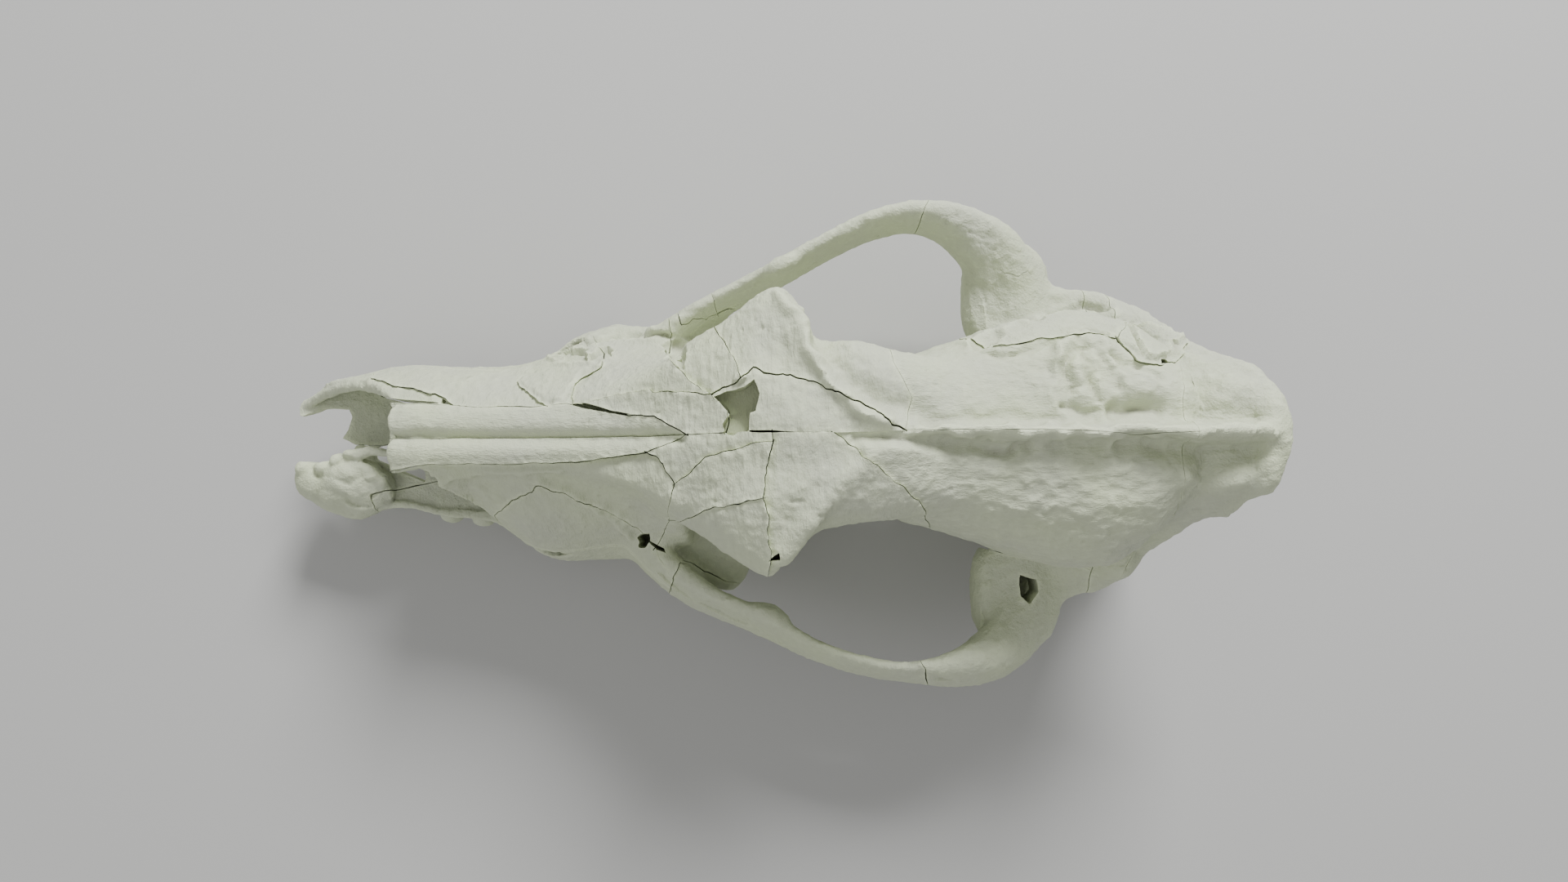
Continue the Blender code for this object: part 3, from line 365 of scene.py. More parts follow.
forms += [solid("base", [base_ring(x) for x in steps(3, 112)]),
          solid("back wall", [level_oval(*row) for row in BACK_WALL])]
for side, nuchal, shelf_middle in ((1, NUCHAL_RIGHT, 72), (-1, NUCHAL_LEFT, 74)):
    shelf = [[(x, y + 40.5 * side, z) for x, y, z in level_oval(level, shelf_middle, half, 14.5, 3)]
             for level, half in SHELF_LEVELS]
    forms += [
        bar("pterygoid", [(x, y * side, z, tall, thick) for x, y, z, tall, thick in PTERYGOID]),
        ball("bulla", (78, 19 * side, 12.4), (14.5, 10.5, 12.4), -14 * side),
        ball("bulla root", (78, 20 * side, 23), (13, 10, 9)),
        solid("joint shelf", shelf),
        ball("behind the joint", (78, 37 * side, 22), (3.4, 9, 9)),
        ball("ear ridge", (90, 31 * side, 32), (11, 8, 10)),
        ball("behind the ear", (98, 31 * side, 40), (7, 6, 8)),
        ball("condyle", (109, 11 * side, 21.5), (8.5, 6.5, 9.5), 30 * side),
        rod("jugular process", ((98, 25 * side, 32, 6.5), (98, 26 * side, 22, 5.2),
                                (98.5, 26.5 * side, 12, 3.8), (98.5, 26.5 * side, 3, 2.4))),
        rod("nuchal ridge", nuchal),
        rod("brow line", ((10, 29 * side, 76.5, 2.6), (16, 20 * side, 81.2, 2.4),
                          (26, 9 * side, 83.6, 2.2), (38, 2 * side, 84, 2.0))),
    ]

# The cheek arches: slim bars of bone, deep and flat in front and turning in to the jaw joint behind. The
# right one's upper edge leans out a little, and the left one's leans in, so that its outer side shows.
ARCH_RIGHT = ((-30, 24.6, 29, 8, 4.6), (-22, 28.8, 31, 9, 3.8), (-12, 35.8, 33, 10, 2.9),
              (-2, 40.9, 35, 9.8, 2.4), (9, 45.9, 37, 9.8, 2.2), (20, 51.9, 38.5, 9.2, 2.3),
              (33, 58.2, 39.5, 9, 2.5), (46, 60.9, 40, 9, 3.1), (56, 58.9, 39.5, 9.4, 4.8),
              (64, 54.2, 38, 9.4, 7.2), (69.6, 48.6, 35.5, 8.6, 8.6), (72.6, 41, 33.5, 7.5, 9.4),
              (74, 28, 33, 7, 10.2))
ARCH_LEFT = ((-30, -26.2, 29, 8, 4.4), (-23, -33, 31, 9, 4.1), (-13, -40.8, 33, 10, 3.3),
             (-3, -45.2, 35, 9.8, 2.5), (8, -50.2, 36.5, 9.4, 2), (20, -55.9, 38, 8.8, 1.7),
             (33, -59.9, 39, 8.4, 1.8), (46, -61.2, 39.5, 8.6, 2.3), (56, -60.2, 38.5, 9.2, 4.2),
             (65.4, -57, 37, 9.2, 6.6), (72.4, -51.4, 34.5, 8.6, 7.6), (76.5, -42, 32.5, 7.5, 8.4),
             (77.4, -28, 32, 7, 9.6))
ARCH_LEAN_RIGHT = 0.09
ARCH_LEAN_LEFT = 0.36

forms += [bar("arch right", ARCH_RIGHT, ARCH_LEAN_RIGHT), bar("arch left", ARCH_LEFT, ARCH_LEAN_LEFT),
          ball("cheek bone step, right", (10, 46.5, 45), (6, 2.6, 4.5), 25),
          ball("cheek bone step, left", (7, -45.5, 43.5), (6, 2.8, 4.5), -25)]
carving += [
    (((60, 56), (66, 50), (68, 42), (68, 34)), 4.5, -1.6, 38, 60),
    (((62, 44), (64, 38), (66, 32)), 2.0, 0.6, 38, 60),
    (((62, -53), (68, -47), (72, -38)), 3.5, -1.2, 36, 60),
    (((-22, 33), (-12, 39), (0, 44)), 1.6, -0.5, 36, 60),
    (((-22, -36), (-12, -43), (0, -48)), 1.8, -0.7, 36, 60),
    (((43.7, -58.4), (50, -61.5), (55, -64.5)), 1.3, -0.8, 42, 60),
]

# The cranium as it grew, in one skin: the plain forms fuse and are smoothed as wide as bone rounds its
# own corners. The natural openings and the front of the left cheek wall, which broke away, are cut out
# next. Then come a finer grain, the carving and the weathering of old, dry bone.
VOXEL = 1.15
SOFTENING = 14
GRAIN = 0.45
GRAIN_SOFTENING = 2
NASAL_TIP = -89.5
CAVITY_FRONT = -132
CAVITY_BACK = -30.0
NOSE_WALL = ((CAVITY_FRONT, 1.3), (-95, 1.4), (-75, 2.2), (CAVITY_BACK, 2.6))
BRAIN_HOLE = (9, 8.5, 24, 39)
# Worn places, each by its middle and its reach in millimetres
WORN = {
    "nose": ((-56, 0, 60), (56, 14, 24)),
    "forehead": ((3, 2, 80), (56, 44, 26)),
    "face": ((-45, 0, 50), (50, 45, 30)),
    "left dome": ((72, -16, 72), (50, 28, 28)),
    "gnarled patch": ((82, 14, 76), (16, 14, 12)),
    "back": ((112, 6, 70), (22, 26, 24)),
    "left nose bone": ((-112, -11, 25), (16, 12, 14)),
}
STEADY_NOSE = ((-56, 0, 60), (56, 16, 24))
ACROSS = (1.0, 0.3, 0.5)
LUMP_HEIGHT = 1.4


def evaluated(obj):
    """Swap an object's mesh for what its modifiers make of it."""
    graph = bpy.context.evaluated_depsgraph_get()
    mesh = bpy.data.meshes.new_from_object(obj.evaluated_get(graph))
    obj.modifiers.clear()
    obj.data = mesh
    return obj


def fused(name, parts, voxel, rounds):
    """Closed forms fused into one skin, then smoothed."""
    bm = bmesh.new()
    for part in parts:
        bm.from_mesh(part.data)
        bpy.data.objects.remove(part, do_unlink=True)
    obj = meshed(name, bm)
    remesh = obj.modifiers.new("fuse", "REMESH")
    remesh.mode = "VOXEL"
    remesh.voxel_size = voxel * MM
    smooth = obj.modifiers.new("soften", "SMOOTH")
    smooth.factor = 0.5
    smooth.iterations = rounds
    return evaluated(obj)


def cut_by(obj, others):
    """Take a group of closed forms away from an object, and remove them."""
    group = bpy.data.collections.new("group")
    for other in others:
        group.objects.link(other)
    boolean = obj.modifiers.new("cut", "BOOLEAN")
    boolean.operation = "DIFFERENCE"
    boolean.solver = "MANIFOLD"
    boolean.operand_type = "COLLECTION"
    boolean.collection = group
    evaluated(obj)
    for other in others:
        bpy.data.objects.remove(other, do_unlink=True)
    bpy.data.collections.remove(group)


def lumps(points, size, seed):
    """Smooth random values round 0, in lumps of about one size, at points in millimetres."""
    p = np.asarray(points, float) / size + seed * 7.31
    cell = np.floor(p).astype(np.int64)
    part = p - cell
    part = part * part * (3 - 2 * part)
    total = np.zeros(len(p))
    for corner in range(8):
        x, y, z = corner & 1, corner >> 1 & 1, corner >> 2
        key = (cell[:, 0] + x) * 73856093 ^ (cell[:, 1] + y) * 19349663 ^ (cell[:, 2] + z) * 83492791
        key = (key + seed * 7919) * 2654435761 & 0xFFFFFFFF
        key = (key ^ key >> 15) * 2246822519 & 0xFFFFFFFF
        value = (key ^ key >> 13) % 20011 / 10005 - 1
        weight = (part[:, 0] if x else 1 - part[:, 0]) * (part[:, 1] if y else 1 - part[:, 1])
        total += value * weight * (part[:, 2] if z else 1 - part[:, 2])
    return total * LUMP_HEIGHT


def facets(points, size, seed):
    """Shallow dents that meet in sharp edges: the squared distance to the nearest of strewn centres."""
    mixing = np.array(((127.1, 269.5, 113.5), (311.7, 183.3, 271.9), (74.7, 246.1, 124.6)))
    place = points / size
    cell = np.floor(place)
    nearest = np.full(len(points), 4.0)
    for step in itertools.product((-1, 0, 1), repeat=3):
        corner = cell + step
        mixed = np.sin(corner @ mixing + seed)
        centre = corner + np.modf(np.abs(mixed) * 4375.85)[0]
        nearest = np.minimum(nearest, ((place - centre) ** 2).sum(axis=1))
    return nearest


def vertices_of(obj):
    """An object's points, in millimetres."""
    co = np.empty(len(obj.data.vertices) * 3, np.float32)
    obj.data.vertices.foreach_get("co", co)
    return co.reshape(-1, 3).astype(float) / MM


def normals_of(obj):
    """The way that the surface faces at each point."""
    normals = np.empty(len(obj.data.vertices) * 3, np.float32)
    obj.data.vertex_normals.foreach_get("vector", normals)
    return normals.reshape(-1, 3).astype(float)


def moved_to(obj, points):
    """Move an object's points to new places in millimetres."""
    obj.data.vertices.foreach_set("co", (points * MM).astype(np.float32).ravel())
    obj.data.update()


def near(points, line, reach):
    """Distance in millimetres to a line seen from above, and a very long one out of its reach."""
    line = np.array(line, float)
    flat = points[:, :2]
    distance = np.full(len(points), 1e6)
    close = np.all((flat > line.min(0) - reach) & (flat < line.max(0) + reach), axis=1)
    p = flat[close]
    found = distance[close]
    for a, b in zip(line, line[1:]):
        run = b - a
        t = np.clip((p - a) @ run / (run @ run), 0, 1)
        found = np.minimum(found, np.linalg.norm(p - a - t[:, None] * run, axis=1))
    distance[close] = found
    return distance


def within(points, outline):
    """Which points lie inside an outline seen from above."""
    x, y = points[:, 0], points[:, 1]
    found = np.zeros(len(points), bool)
    for (x1, y1), (x2, y2) in zip(outline, outline[1:] + outline[:1]):
        crosses = (y1 > y) != (y2 > y)
        found[crosses] ^= x[crosses] < (x2 - x1) * (y[crosses] - y1) / (y2 - y1) + x1
    return found


def carved(points, normals):
    """Height of all the ridges, grooves and areas at the points, fading out on walls that face sideways."""
    height = np.zeros(len(points))
    facing = np.clip(normals[:, 2] * 2.2 + 0.35, 0, 1)
    wavering = points.copy()
    sway = 0.7 - 0.6 * patch(points, *STEADY_NOSE)
    wavering[:, 0] += sway * lumps(points, 3.0, 71)
    wavering[:, 1] += sway * lumps(points, 3.0, 72)
    for line, width, rise, low, high in carving:
        distance = near(wavering, line, 3 * width)
        inside = (points[:, 2] > low) & (points[:, 2] < high)
        height += rise * np.exp(-(distance / width) ** 2) * inside * facing
    for outline, rise, rim, low, high in areas:
        distance = near(wavering, outline + outline[:1], 30)
        inside = within(wavering, outline) & (points[:, 2] > low) & (points[:, 2] < high)
        height += rise * np.clip(distance / rim, 0, 1) * inside * facing
    return height


def patch(points, centre, radius):
    """1 at a patch's middle and 0 from its radius on."""
    away = np.linalg.norm((points - centre) / radius, axis=1)
    return np.clip(1.4 - 1.4 * away, 0, 1)


def weathered(points):
    """The fine relief of dry, worn bone: broad swells, chiselled lumps, grain along the plates, and pits.

    Each depth in millimetres stands before its lumps, whose size and seed follow the points.
    """
    worn = {place: patch(points, *reach) for place, reach in WORN.items()}
    smooth = worn["nose"]
    pits = np.clip(lumps(points, 1.5, 5) - 0.8, 0, 1) * np.clip(lumps(points, 9.0, 6) + 0.2, 0, 1)
    swell = 0.16 * lumps(points, 9.0, 1) + 0.07 * lumps(points, 3.6, 2)
    fine = 0.10 * np.abs(lumps(points, 2.1, 3)) + 0.05 * lumps(points, 1.2, 4)
    across = 0.22 * np.abs(lumps(points * ACROSS, 1.5, 7)) + 0.08 * lumps(points * ACROSS, 0.9, 17)
    x, y, z = points.T
    slanting = np.stack((x * 0.8 + y * 0.6, (y * 0.8 - x * 0.6) * 0.35, z * 0.6), axis=1)
    scored = 0.22 * np.abs(lumps(slanting, 1.6, 18))
    chisel = 0.30 * np.abs(lumps(points * (0.36, 1.0, 1.0), 2.1, 8))
    chisel = chisel + 0.08 * lumps(points * (0.4, 1, 1), 1.1, 9)
    warped = points + 0.6 * np.stack([lumps(points, 2.5, 20 + i) for i in range(3)], axis=1)
    chipped = facets(warped * (0.6, 1.0, 1.0), 2.9, 1) + 0.25 * facets(points * (0.6, 1, 1), 1.3, 3)
    hammered = facets(warped, 2.1, 2)
    gnarls = (1.5 * np.abs(lumps(points, 4.4, 10)) + 0.5 * np.abs(lumps(points, 2.0, 11))
              + 0.3 * hammered - 0.5)
    coarse = 0.25 * lumps(points, 4.0, 12) + 0.2 * np.abs(lumps(points, 1.9, 13)) + 0.5 * chipped
    height = (swell + fine) * (1 - 0.75 * smooth) - 0.8 * pits + 0.28 * hammered * (1 - 0.85 * smooth)
    height += (across * worn["forehead"] + (0.7 * chisel + 0.75 * chipped) * worn["left dome"]
               + scored * worn["face"] * (1 - smooth))
    height += worn["left nose bone"] * 0.8 * (facets(points, 5.0, 4) - 0.2)
    height += worn["gnarled patch"] * gnarls
    height += worn["back"] * coarse
    return height


def prism(name, outline, left, right):
    """A prism over an outline seen from the side, from left to right."""
    return solid(name, [[(x, y, z) for x, z in outline] for y in (left, right)])


skull = fused("skull", forms, VOXEL, SOFTENING)
NOSE_OPENING = ((-140, 22), (-122.5, 23), (-117, 29), (-105, 37), (-93, 48), (NASAL_TIP, 52), (NASAL_TIP, 95),
                (-140, 95))
LOST_WALL = ((-104.6, 23.8), (-72, 23.5), (-66, 28), (-70, 38), (-77.5, 47), (-79.5, 60), (-124, 60),
             (-122, 24.5), (-114, 26.5), (-107, 27), (-103.5, 26))
openings = [
    prism("nose opening", NOSE_OPENING, -60, 60),
    prism("lost wall", LOST_WALL, -60, -9.4),
    solid("nasal passage", [snout_ring(x, along(NOSE_WALL, x), True)
                            for x in steps(CAVITY_FRONT, CAVITY_BACK)]),
    solid("brain opening", [oval(x, *BRAIN_HOLE, 2.2, 16) for x in steps(96, 135)]),
]
for side in (1, -1):
    openings.append(rod("ear opening", ((80, 29 * side, 24, 3.2), (81, 46 * side, 25, 4.0))))
    openings.append(rod("face opening", ((-34, 24 * side, 31, 2.8), (-46, 26.5 * side, 28.5, 2.8),
                                         (-62, 31.5 * side, 26.5, 3.0))))
cut_by(skull, openings)

# The left nose bone is a stout lump with knobs and a thin spine towards the nose's middle, and swellings
# over tooth roots scallop the jaw's edge behind it. They grow into the skin before its last grain. Balls
# are given by their centre and radii, rods by points and the radius at each.
lumpy = [ball("nose bone", centre, radii) for centre, radii in (
    ((-121.5, -9.5, 21.5), (6.0, 6.6, 7.0)),
    ((-114, -11.5, 22), (8, 6.5, 7.5)),
    ((-106.5, -12, 22), (7.5, 6.0, 8.5)),
    ((-110.5, -7.8, 25.5), (8, 4.2, 6)),
    ((-113.2, -4.6, 28.5), (2.2, 2.0, 2.8)),
    ((-118, -6.4, 27.5), (2.2, 2.0, 2.4)),
    ((-123.6, -6.8, 26), (2.4, 2.4, 2.8)),
    ((-109.4, -2.8, 29.4), (2.4, 1.3, 2.0)),
)]
lumpy += [
    rod("nose spine", ((-108, -3.2, 29.4, 1.9), (-104, -2.0, 30.2, 1.3), (-100, -2.4, 30.4, 1.0),
                       (-97.4, -2.9, 30.2, 0.8))),
    rod("back edge", ((-110, -4.5, 28.5, 1.6), (-105, -7.5, 29.5, 1.6), (-101.5, -10.8, 28.6, 1.5),
                      (-99.8, -14.5, 25.5, 1.2))),
    rod("rim", ((-125.2, 11.0, 22, 1.1), (-122, 12.8, 24, 1.3), (-118, 14.2, 27, 1.5),
                (-112, 15.4, 31.4, 1.5), (-105, 15.6, 36.2, 1.4), (-98, 14.0, 41.7, 1.2),
                (-93, 12.6, 46, 1.1))),
]
lumpy += [ball("lump", centre, radii) for centre, radii in (
    ((-113, -10.5, 25.5), (6, 4.5, 5)),
    ((-106, -11.5, 25.5), (6, 5, 5)),
    ((-103.5, -13.5, 24), (4.2, 4.0, 4.5)),
    ((1.6, 13.2, 79.6), (3.2, 2.4, 2.4)),
    ((3.4, 12.6, 80.0), (1.8, 1.6, 2.2)),
)]
for x, y, size in ((-91, 17.0, 2.6), (-84.6, 19.4, 3.2), (-75.4, 20.4, 3.4)):
    lumpy.append(ball("root swelling", (x, -y, 17.5), (size, size * 0.8, 5.0)))
skull = fused("skull", [skull] + lumpy, GRAIN, GRAIN_SOFTENING)
spots = vertices_of(skull)
facing = normals_of(skull)
moved_to(skull, spots + facing * (weathered(spots) + carved(spots, facing))[:, None])

# The breaks. The find is many fragments glued together again, so cracks run between the plates beside the
# grown sutures, and no two run straight. Each is cut as a thin, rough wall that wanders as bone tears.
# Levels, from below the skull to above it
LOW = -4.0
JAW_CUT = 27.0
BASE_CUT = 35.0
ROOT_TOP = 42.0
ARCH_TOP = 60
HIGH = 110.0
# Places along the skull
PALATE_FRONT = -127
PREMAXILLA_BACK = -104.0
PALATE_END = 3.0
BASE_SUTURE = 66.0
TEMPORAL_BACK = 92.0
# How far a sheet runs past its line and into its neighbour, the length and height of its facets, how near
# a knot steadies it, and how little it wanders with height
OVERSHOOT = 1.8
OVERLAP = 1.5
STRIDE = 0.55
STOREY = 3.0
KNOT_REACH = 2.5
UPRIGHT = 0.05


def cut_level(x):
    """Height of the break between the face and brain bones above and the jaw and base bones below."""
    if x > PALATE_END:
        return BASE_CUT
    return JAW_CUT + (x - PALATE_FRONT) * (BASE_CUT - JAW_CUT) / (PALATE_END - PALATE_FRONT)


def strewn(line, stride):
    """Points at an even stride along a line."""
    points = np.array(line, float)
    run = np.concatenate(([0.0], np.cumsum(np.linalg.norm(np.diff(points, axis=0), axis=1))))
    places = np.linspace(0, run[-1], max(2, round(run[-1] / stride) + 1))
    return np.stack([np.interp(places, run, points[:, k]) for k in range(points.shape[1])], axis=1)


def crack(line, width, wander, seed, low=None, high=HIGH, beyond=OVERSHOOT, knots=()):
    """An upright sheet along a plan line, thrown to and fro except where it meets others at the knots."""
    points = strewn(line, STRIDE)
    first = points[0] - points[1]
    final = points[-1] - points[-2]
    points = np.vstack((points[0] + first / np.linalg.norm(first) * beyond, points,
                        points[-1] + final / np.linalg.norm(final) * beyond))
    run = np.gradient(points, axis=0)
    run /= np.maximum(np.linalg.norm(run, axis=1, keepdims=True), 1e-9)
    side = np.stack((-run[:, 1], run[:, 0]), axis=1)
    rings = []
    storeys = round((high - (JAW_CUT if low is None else low)) / STOREY)
    for p, s in zip(points, side):
        free = min([1.0] + [math.dist(p, knot) / KNOT_REACH for knot in knots])
        floor = cut_level(p[0]) - OVERLAP if low is None else low
        levels = np.linspace(floor, high, storeys + 1)
        spots = np.array([(p[0], p[1], z * UPRIGHT) for z in levels])
        throw = (lumps(spots, 6.0, seed) * 0.6 + lumps(spots, 2.4, seed + 1) * 0.55
                 + lumps(spots, 1.0, seed + 2) * 0.3) * wander * free
        half = width / 2 * np.clip(1 + 0.6 * lumps(spots, 3.5, seed + 3), 0.55, 1.6)
        one = [(*(p + s * (t + h)), z) for t, h, z in zip(throw, half, levels)]
        two = [(*(p + s * (t - h)), z) for t, h, z in zip(throw, half, levels)]
        rings.append(one + two[::-1])
    return solid("crack", rings)


def level_crack(stations, width, wander, seed):
    """A thin, nearly level sheet that waves up and down: (x, z, right edge, left edge) stations."""
    rings = []
    for x, z, right, left in strewn(stations, STRIDE * 1.5):
        ends = [(x, 0, 0), (x, 40, 0)]
        rise = lumps(ends, 8.0, seed) * 0.7 + lumps(ends, 2.4, seed + 1) * 0.3
        one, two = z + rise * wander
        rings.append([(x, right, one - width / 2), (x, right, one + width / 2), (x, -left, two + width / 2),
                      (x, -left, two - width / 2)])
    return solid("level crack", rings)


def torn(name, outline, low, high, wander, seed):
    """A hole with ragged edges: an upright prism whose outline wanders, differently at each level."""
    points = strewn(tuple(outline) + (outline[0],), 0.7)[:-1]
    run = np.roll(points, -1, axis=0) - np.roll(points, 1, axis=0)
    run /= np.maximum(np.linalg.norm(run, axis=1, keepdims=True), 1e-9)
    side = np.stack((-run[:, 1], run[:, 0]), axis=1)
    rings = []
    for z in steps(low, high, 2.5):
        spots = np.column_stack((points, np.full(len(points), z * 0.7)))
        throw = (lumps(spots, 4.0, seed) * 0.7 + lumps(spots, 1.6, seed + 1) * 0.5) * wander
        rings.append([(*q, z) for q in points + side * throw[:, None]])
    return solid(name, rings)


# Every crack and suture of the upper bones, by its course seen from above
UPPER_SEAMS = {
    "nasal middle": ((-140, 0), (-60, 0), (-12, -0.2)),
    "middle": ((-12, -0.2), (8, 0.3), (21.8, 0)),
    "crest": ((21.8, 0), (38, 0.5), (70, 0.6), (90, -0.5), (103.5, 0)),
    "right nasal": ((-100, 9.5), (-77, 9), (-66, 8), (-50, 8), (-43, 8.5), (-36, 6.5), (-27, 5), (-20, 4.5),
                    (-16, 2), (-12, -0.2)),
    "left nasal": ((-100, -9), (-90, -8.2), (-80, -6.6), (-65, -6.5), (-41, -6.2), (-31, -5), (-22, -4.1),
                   (-16, -1.9), (-12, -0.2)),
    "right premaxilla": ((PREMAXILLA_BACK, 40), (PREMAXILLA_BACK, 22), (-99.4, 17), (-91.9, 14.7),
                         (-85.3, 13.5), (-78.5, 11.5), (-74, 8.8)),
    "right maxilla, front crack": ((-59, 40), (-59, 21), (-59.8, 15.6), (-57, 13.4), (-52.5, 10.6),
                                   (-48.5, 8.05)),
    "right maxilla, rear crack": ((-46, 50), (-42, 30), (-38, 24), (-36.5, 19), (-39.5, 16.6), (-42, 13.8),
                                  (-42.5, 10.3), (-41.5, 8.2)),
    "right forehead strip": ((-41.5, 8.2), (-31, 9.9), (-24, 11), (-17.5, 10), (-10.8, 9.2), (-6.2, 9.1)),
    "right maxilla, back edge": ((-22, 60), (-20, 31), (-20.5, 23.5), (-18, 20), (-14.2, 15.3), (-10.6, 12.4),
                                 (-6.2, 9.1), (-2.8, 5.2), (-3, 0.1)),
    "right tear bone": ((-9, 42), (-5.5, 25.5), (-0.5, 16.5), (0.8, 12.5), (-2, 10.5), (-6.2, 9.1)),
    "right forehead plate": ((0.8, 12.5), (3.7, 15), (7, 13.6), (12.2, 13.4), (16, 11.8), (22, 9.5), (31, 5),
                             (38, 0.5)),
    "right crown": ((38, 0.5), (40, 8), (36, 16), (33, 40)),
    "right temple": ((48, 40), (53, 26), (60, 21), (70, 22.5), (82, 24), (90, 23), (97, 31), (100, 60)),
    "right nape": ((90, 23), (93, 17), (99, 16), (106, 18), (112, 24), (119, 40)),
    "left maxilla": ((-74, -40), (-67, -19.5), (-51, -11.5), (-45.5, -14.2), (-36.5, -17.9), (-30.5, -21),
                     (-25.5, -25), (-20, -34), (-20, -60)),
    "left maxilla, back edge": ((-22, -4.1), (-18, -7), (-15, -11.6), (-16.5, -16.4), (-17.8, -20.5),
                                (-20.5, -24), (-24, -28.5)),
    "left forehead strip": ((-15, -11.6), (-9.3, -8), (-7.6, -5.7), (-1.5, -4.2), (4, -2.6), (8.3, -2.2),
                            (8, 0.3)),
    "left brow, front crack": ((-17.8, -20.5), (-14.5, -20.6), (-8.2, -18.2), (-2.5, -16.5), (5.9, -15)),
    "left brow, back crack": ((8.3, -2.2), (7.3, -6.2), (6.3, -10.2), (5.9, -15), (6.9, -19.5), (6.9, -23.6),
                              (7.8, -27.5), (6, -40)),
    "left crown": ((21.8, 0), (27.8, -5), (34.4, -9.6), (41.5, -15.6), (47, -22), (53, -40)),
    "nape": ((106, 18), (103, 8), (103.5, 0), (103, -8), (105, -17), (104, -24), (99, -34), (97, -60)),
}
# How wide they are and how far they wander
CRACK = (0.21, 0.6)
HIDDEN = (0.1, 0.1)
SEAM_WIDTHS = {
    "middle": (0.14, 0.2),
    "nasal middle": (0.14, 0.1),
    "crest": HIDDEN,
    "right nasal": (0.2, 0.25),
    "left nasal": (0.18, 0.25),
    "right premaxilla": (0.24, 0.4),
    "left crown": (0.19, 0.6),
    "right forehead plate": (0.18, 0.6),
    "right crown": HIDDEN,
    "nape": HIDDEN,
    "right nape": (0.24, 0.5),
    "left forehead strip": (0.2, 0.5),
    "left brow, back crack": (0.22, 0.6),
    "right maxilla, back edge": (0.24, 0.7),
}
PALATE_SUTURE = ((PREMAXILLA_BACK, -60), (PREMAXILLA_BACK, -14), (-87, -10), (-87, 10), (PREMAXILLA_BACK, 14),
                 (PREMAXILLA_BACK, 60))
HAIRLINE = (0.16, 0.4)
CALM = 0.3
ROOT_INNER = ((54, 26), (64, 28.4), (72, 30.4), (84, 30.4), (TEMPORAL_BACK, 29))
BULLA_RING = (77.5, 19, 16.4, 12.0)
JUGAL_FRONT_RIGHT = ((-24, 48), (-17, 31.5), (-5, 36.5), (PALATE_END, 38.4), (12, 40.5))
JUGAL_FRONT_LEFT = ((-24, -48), (-17, -32), (-5, -38), (PALATE_END, -40), (12, -42.5))


def breaks():
    """Every crack and suture that parts the skull: the upper ones, the level ones and those of the base."""
    hair, roam = HAIRLINE
    middle, off, length, breadth = BULLA_RING
    knots = [end for line in UPPER_SEAMS.values() for end in (line[0], line[-1])]
    sheets = []
    for seed, (name, line) in enumerate(UPPER_SEAMS.items()):
        width, wander = SEAM_WIDTHS.get(name, CRACK)
        sheets.append(crack(line, width, wander, 11 * seed + 5, beyond=0.6, knots=knots))
    # The level break's edge: x, and how far it reaches to the right and to the left
    edges = [(PREMAXILLA_BACK - OVERLAP, 60, 60), (-24, 48, 48), (-17, 31.5, 32), (-5, 36.5, 38),
             (PALATE_END, 38.4, 40), (8, 28, 28)]
    edges += [(x, y, y) for x, y in ROOT_INNER[:-1]]
    edges += [(TEMPORAL_BACK - OVERLAP, 29, 29), (TEMPORAL_BACK - OVERLAP + 0.1, 60, 60), (140, 60, 60)]
    stations = [(x, cut_level(x), right + OVERLAP, left + OVERLAP) for x, right, left in edges]
    sheets.append(level_crack(stations, hair, roam, 301))
    suture_top = cut_level(PALATE_SUTURE[2][0]) + OVERLAP
    for line, width, wander, seed, top in (
            (((-140, 0), (PALATE_END, 0)), hair, CALM, 311, JAW_CUT + 12),
            (PALATE_SUTURE, 0.26, 0.2, 325, suture_top),
            (((PALATE_END, -40), (PALATE_END, 38.4)), hair, roam, 331, BASE_CUT + OVERLAP),
            (((BASE_SUTURE, -11.5), (BASE_SUTURE, 11.5)), hair, CALM, 341, BASE_CUT + OVERLAP)):
        sheets.append(crack(line, width, wander, seed, LOW, top))
    for side, front in ((1, JUGAL_FRONT_RIGHT), (-1, JUGAL_FRONT_LEFT)):
        sheets.append(crack(front, 0.2, 0.5, 351 + side, LOW, ARCH_TOP))
        sheets.append(crack(((43, 48 * side), (52, 74 * side)), 0.25, 0.5, 361 + side, LOW, ARCH_TOP))
        root = [(x, y * side) for x, y in ROOT_INNER]
        root.append((TEMPORAL_BACK, 56 * side))
        sheets.append(crack(root, hair, CALM, 371 + side, LOW, ROOT_TOP + OVERLAP))
        shelf = [(x, ROOT_TOP, 46, OVERLAP - y) for x, y in ROOT_INNER + ((TEMPORAL_BACK + OVERLAP, 29),)]
        sheets.append(level_crack([(x, z, a, b) if side == 1 else (x, z, b, a) for x, z, a, b in shelf],
                                  hair, CALM, 381 + side))
        for start in (-14, 166):
            turns = [(math.radians(start + 208 * i / 16), 1 - 0.1 * (i in (0, 16))) for i in range(17)]
            half_ring = [(middle + length * pull * math.cos(a), (off + breadth * pull * math.sin(a)) * side)
                         for a, pull in turns]
            sheets.append(crack(half_ring, hair, 0.25, 391 + side + start, LOW, BASE_CUT + OVERLAP))
    return sheets


# Lost bone. The bone of the front teeth broke away whole, and chips that are missing between the fragments
# left holes and slits with ragged edges, each to its own depth. All are cut together with the breaks.
LOST_INCISORS = ((-140, 7.8), (-126, 8.2), (-120, 10.8), (-113, 10.5), (-111.8, 8), (-112.7, 4), (-114.4, 2),
                 (-110.7, 0), (-112, -2), (-118, -5.5), (-123, -4.8), (-140, -4.4))
SLIT_LEFT = ((-106.5, -1), (-101, 0.5), (-97, -3.5), (-91, -7.5), (-91, -10.5), (-96, -8.5), (-102, -5.5),
             (-105.5, -4))
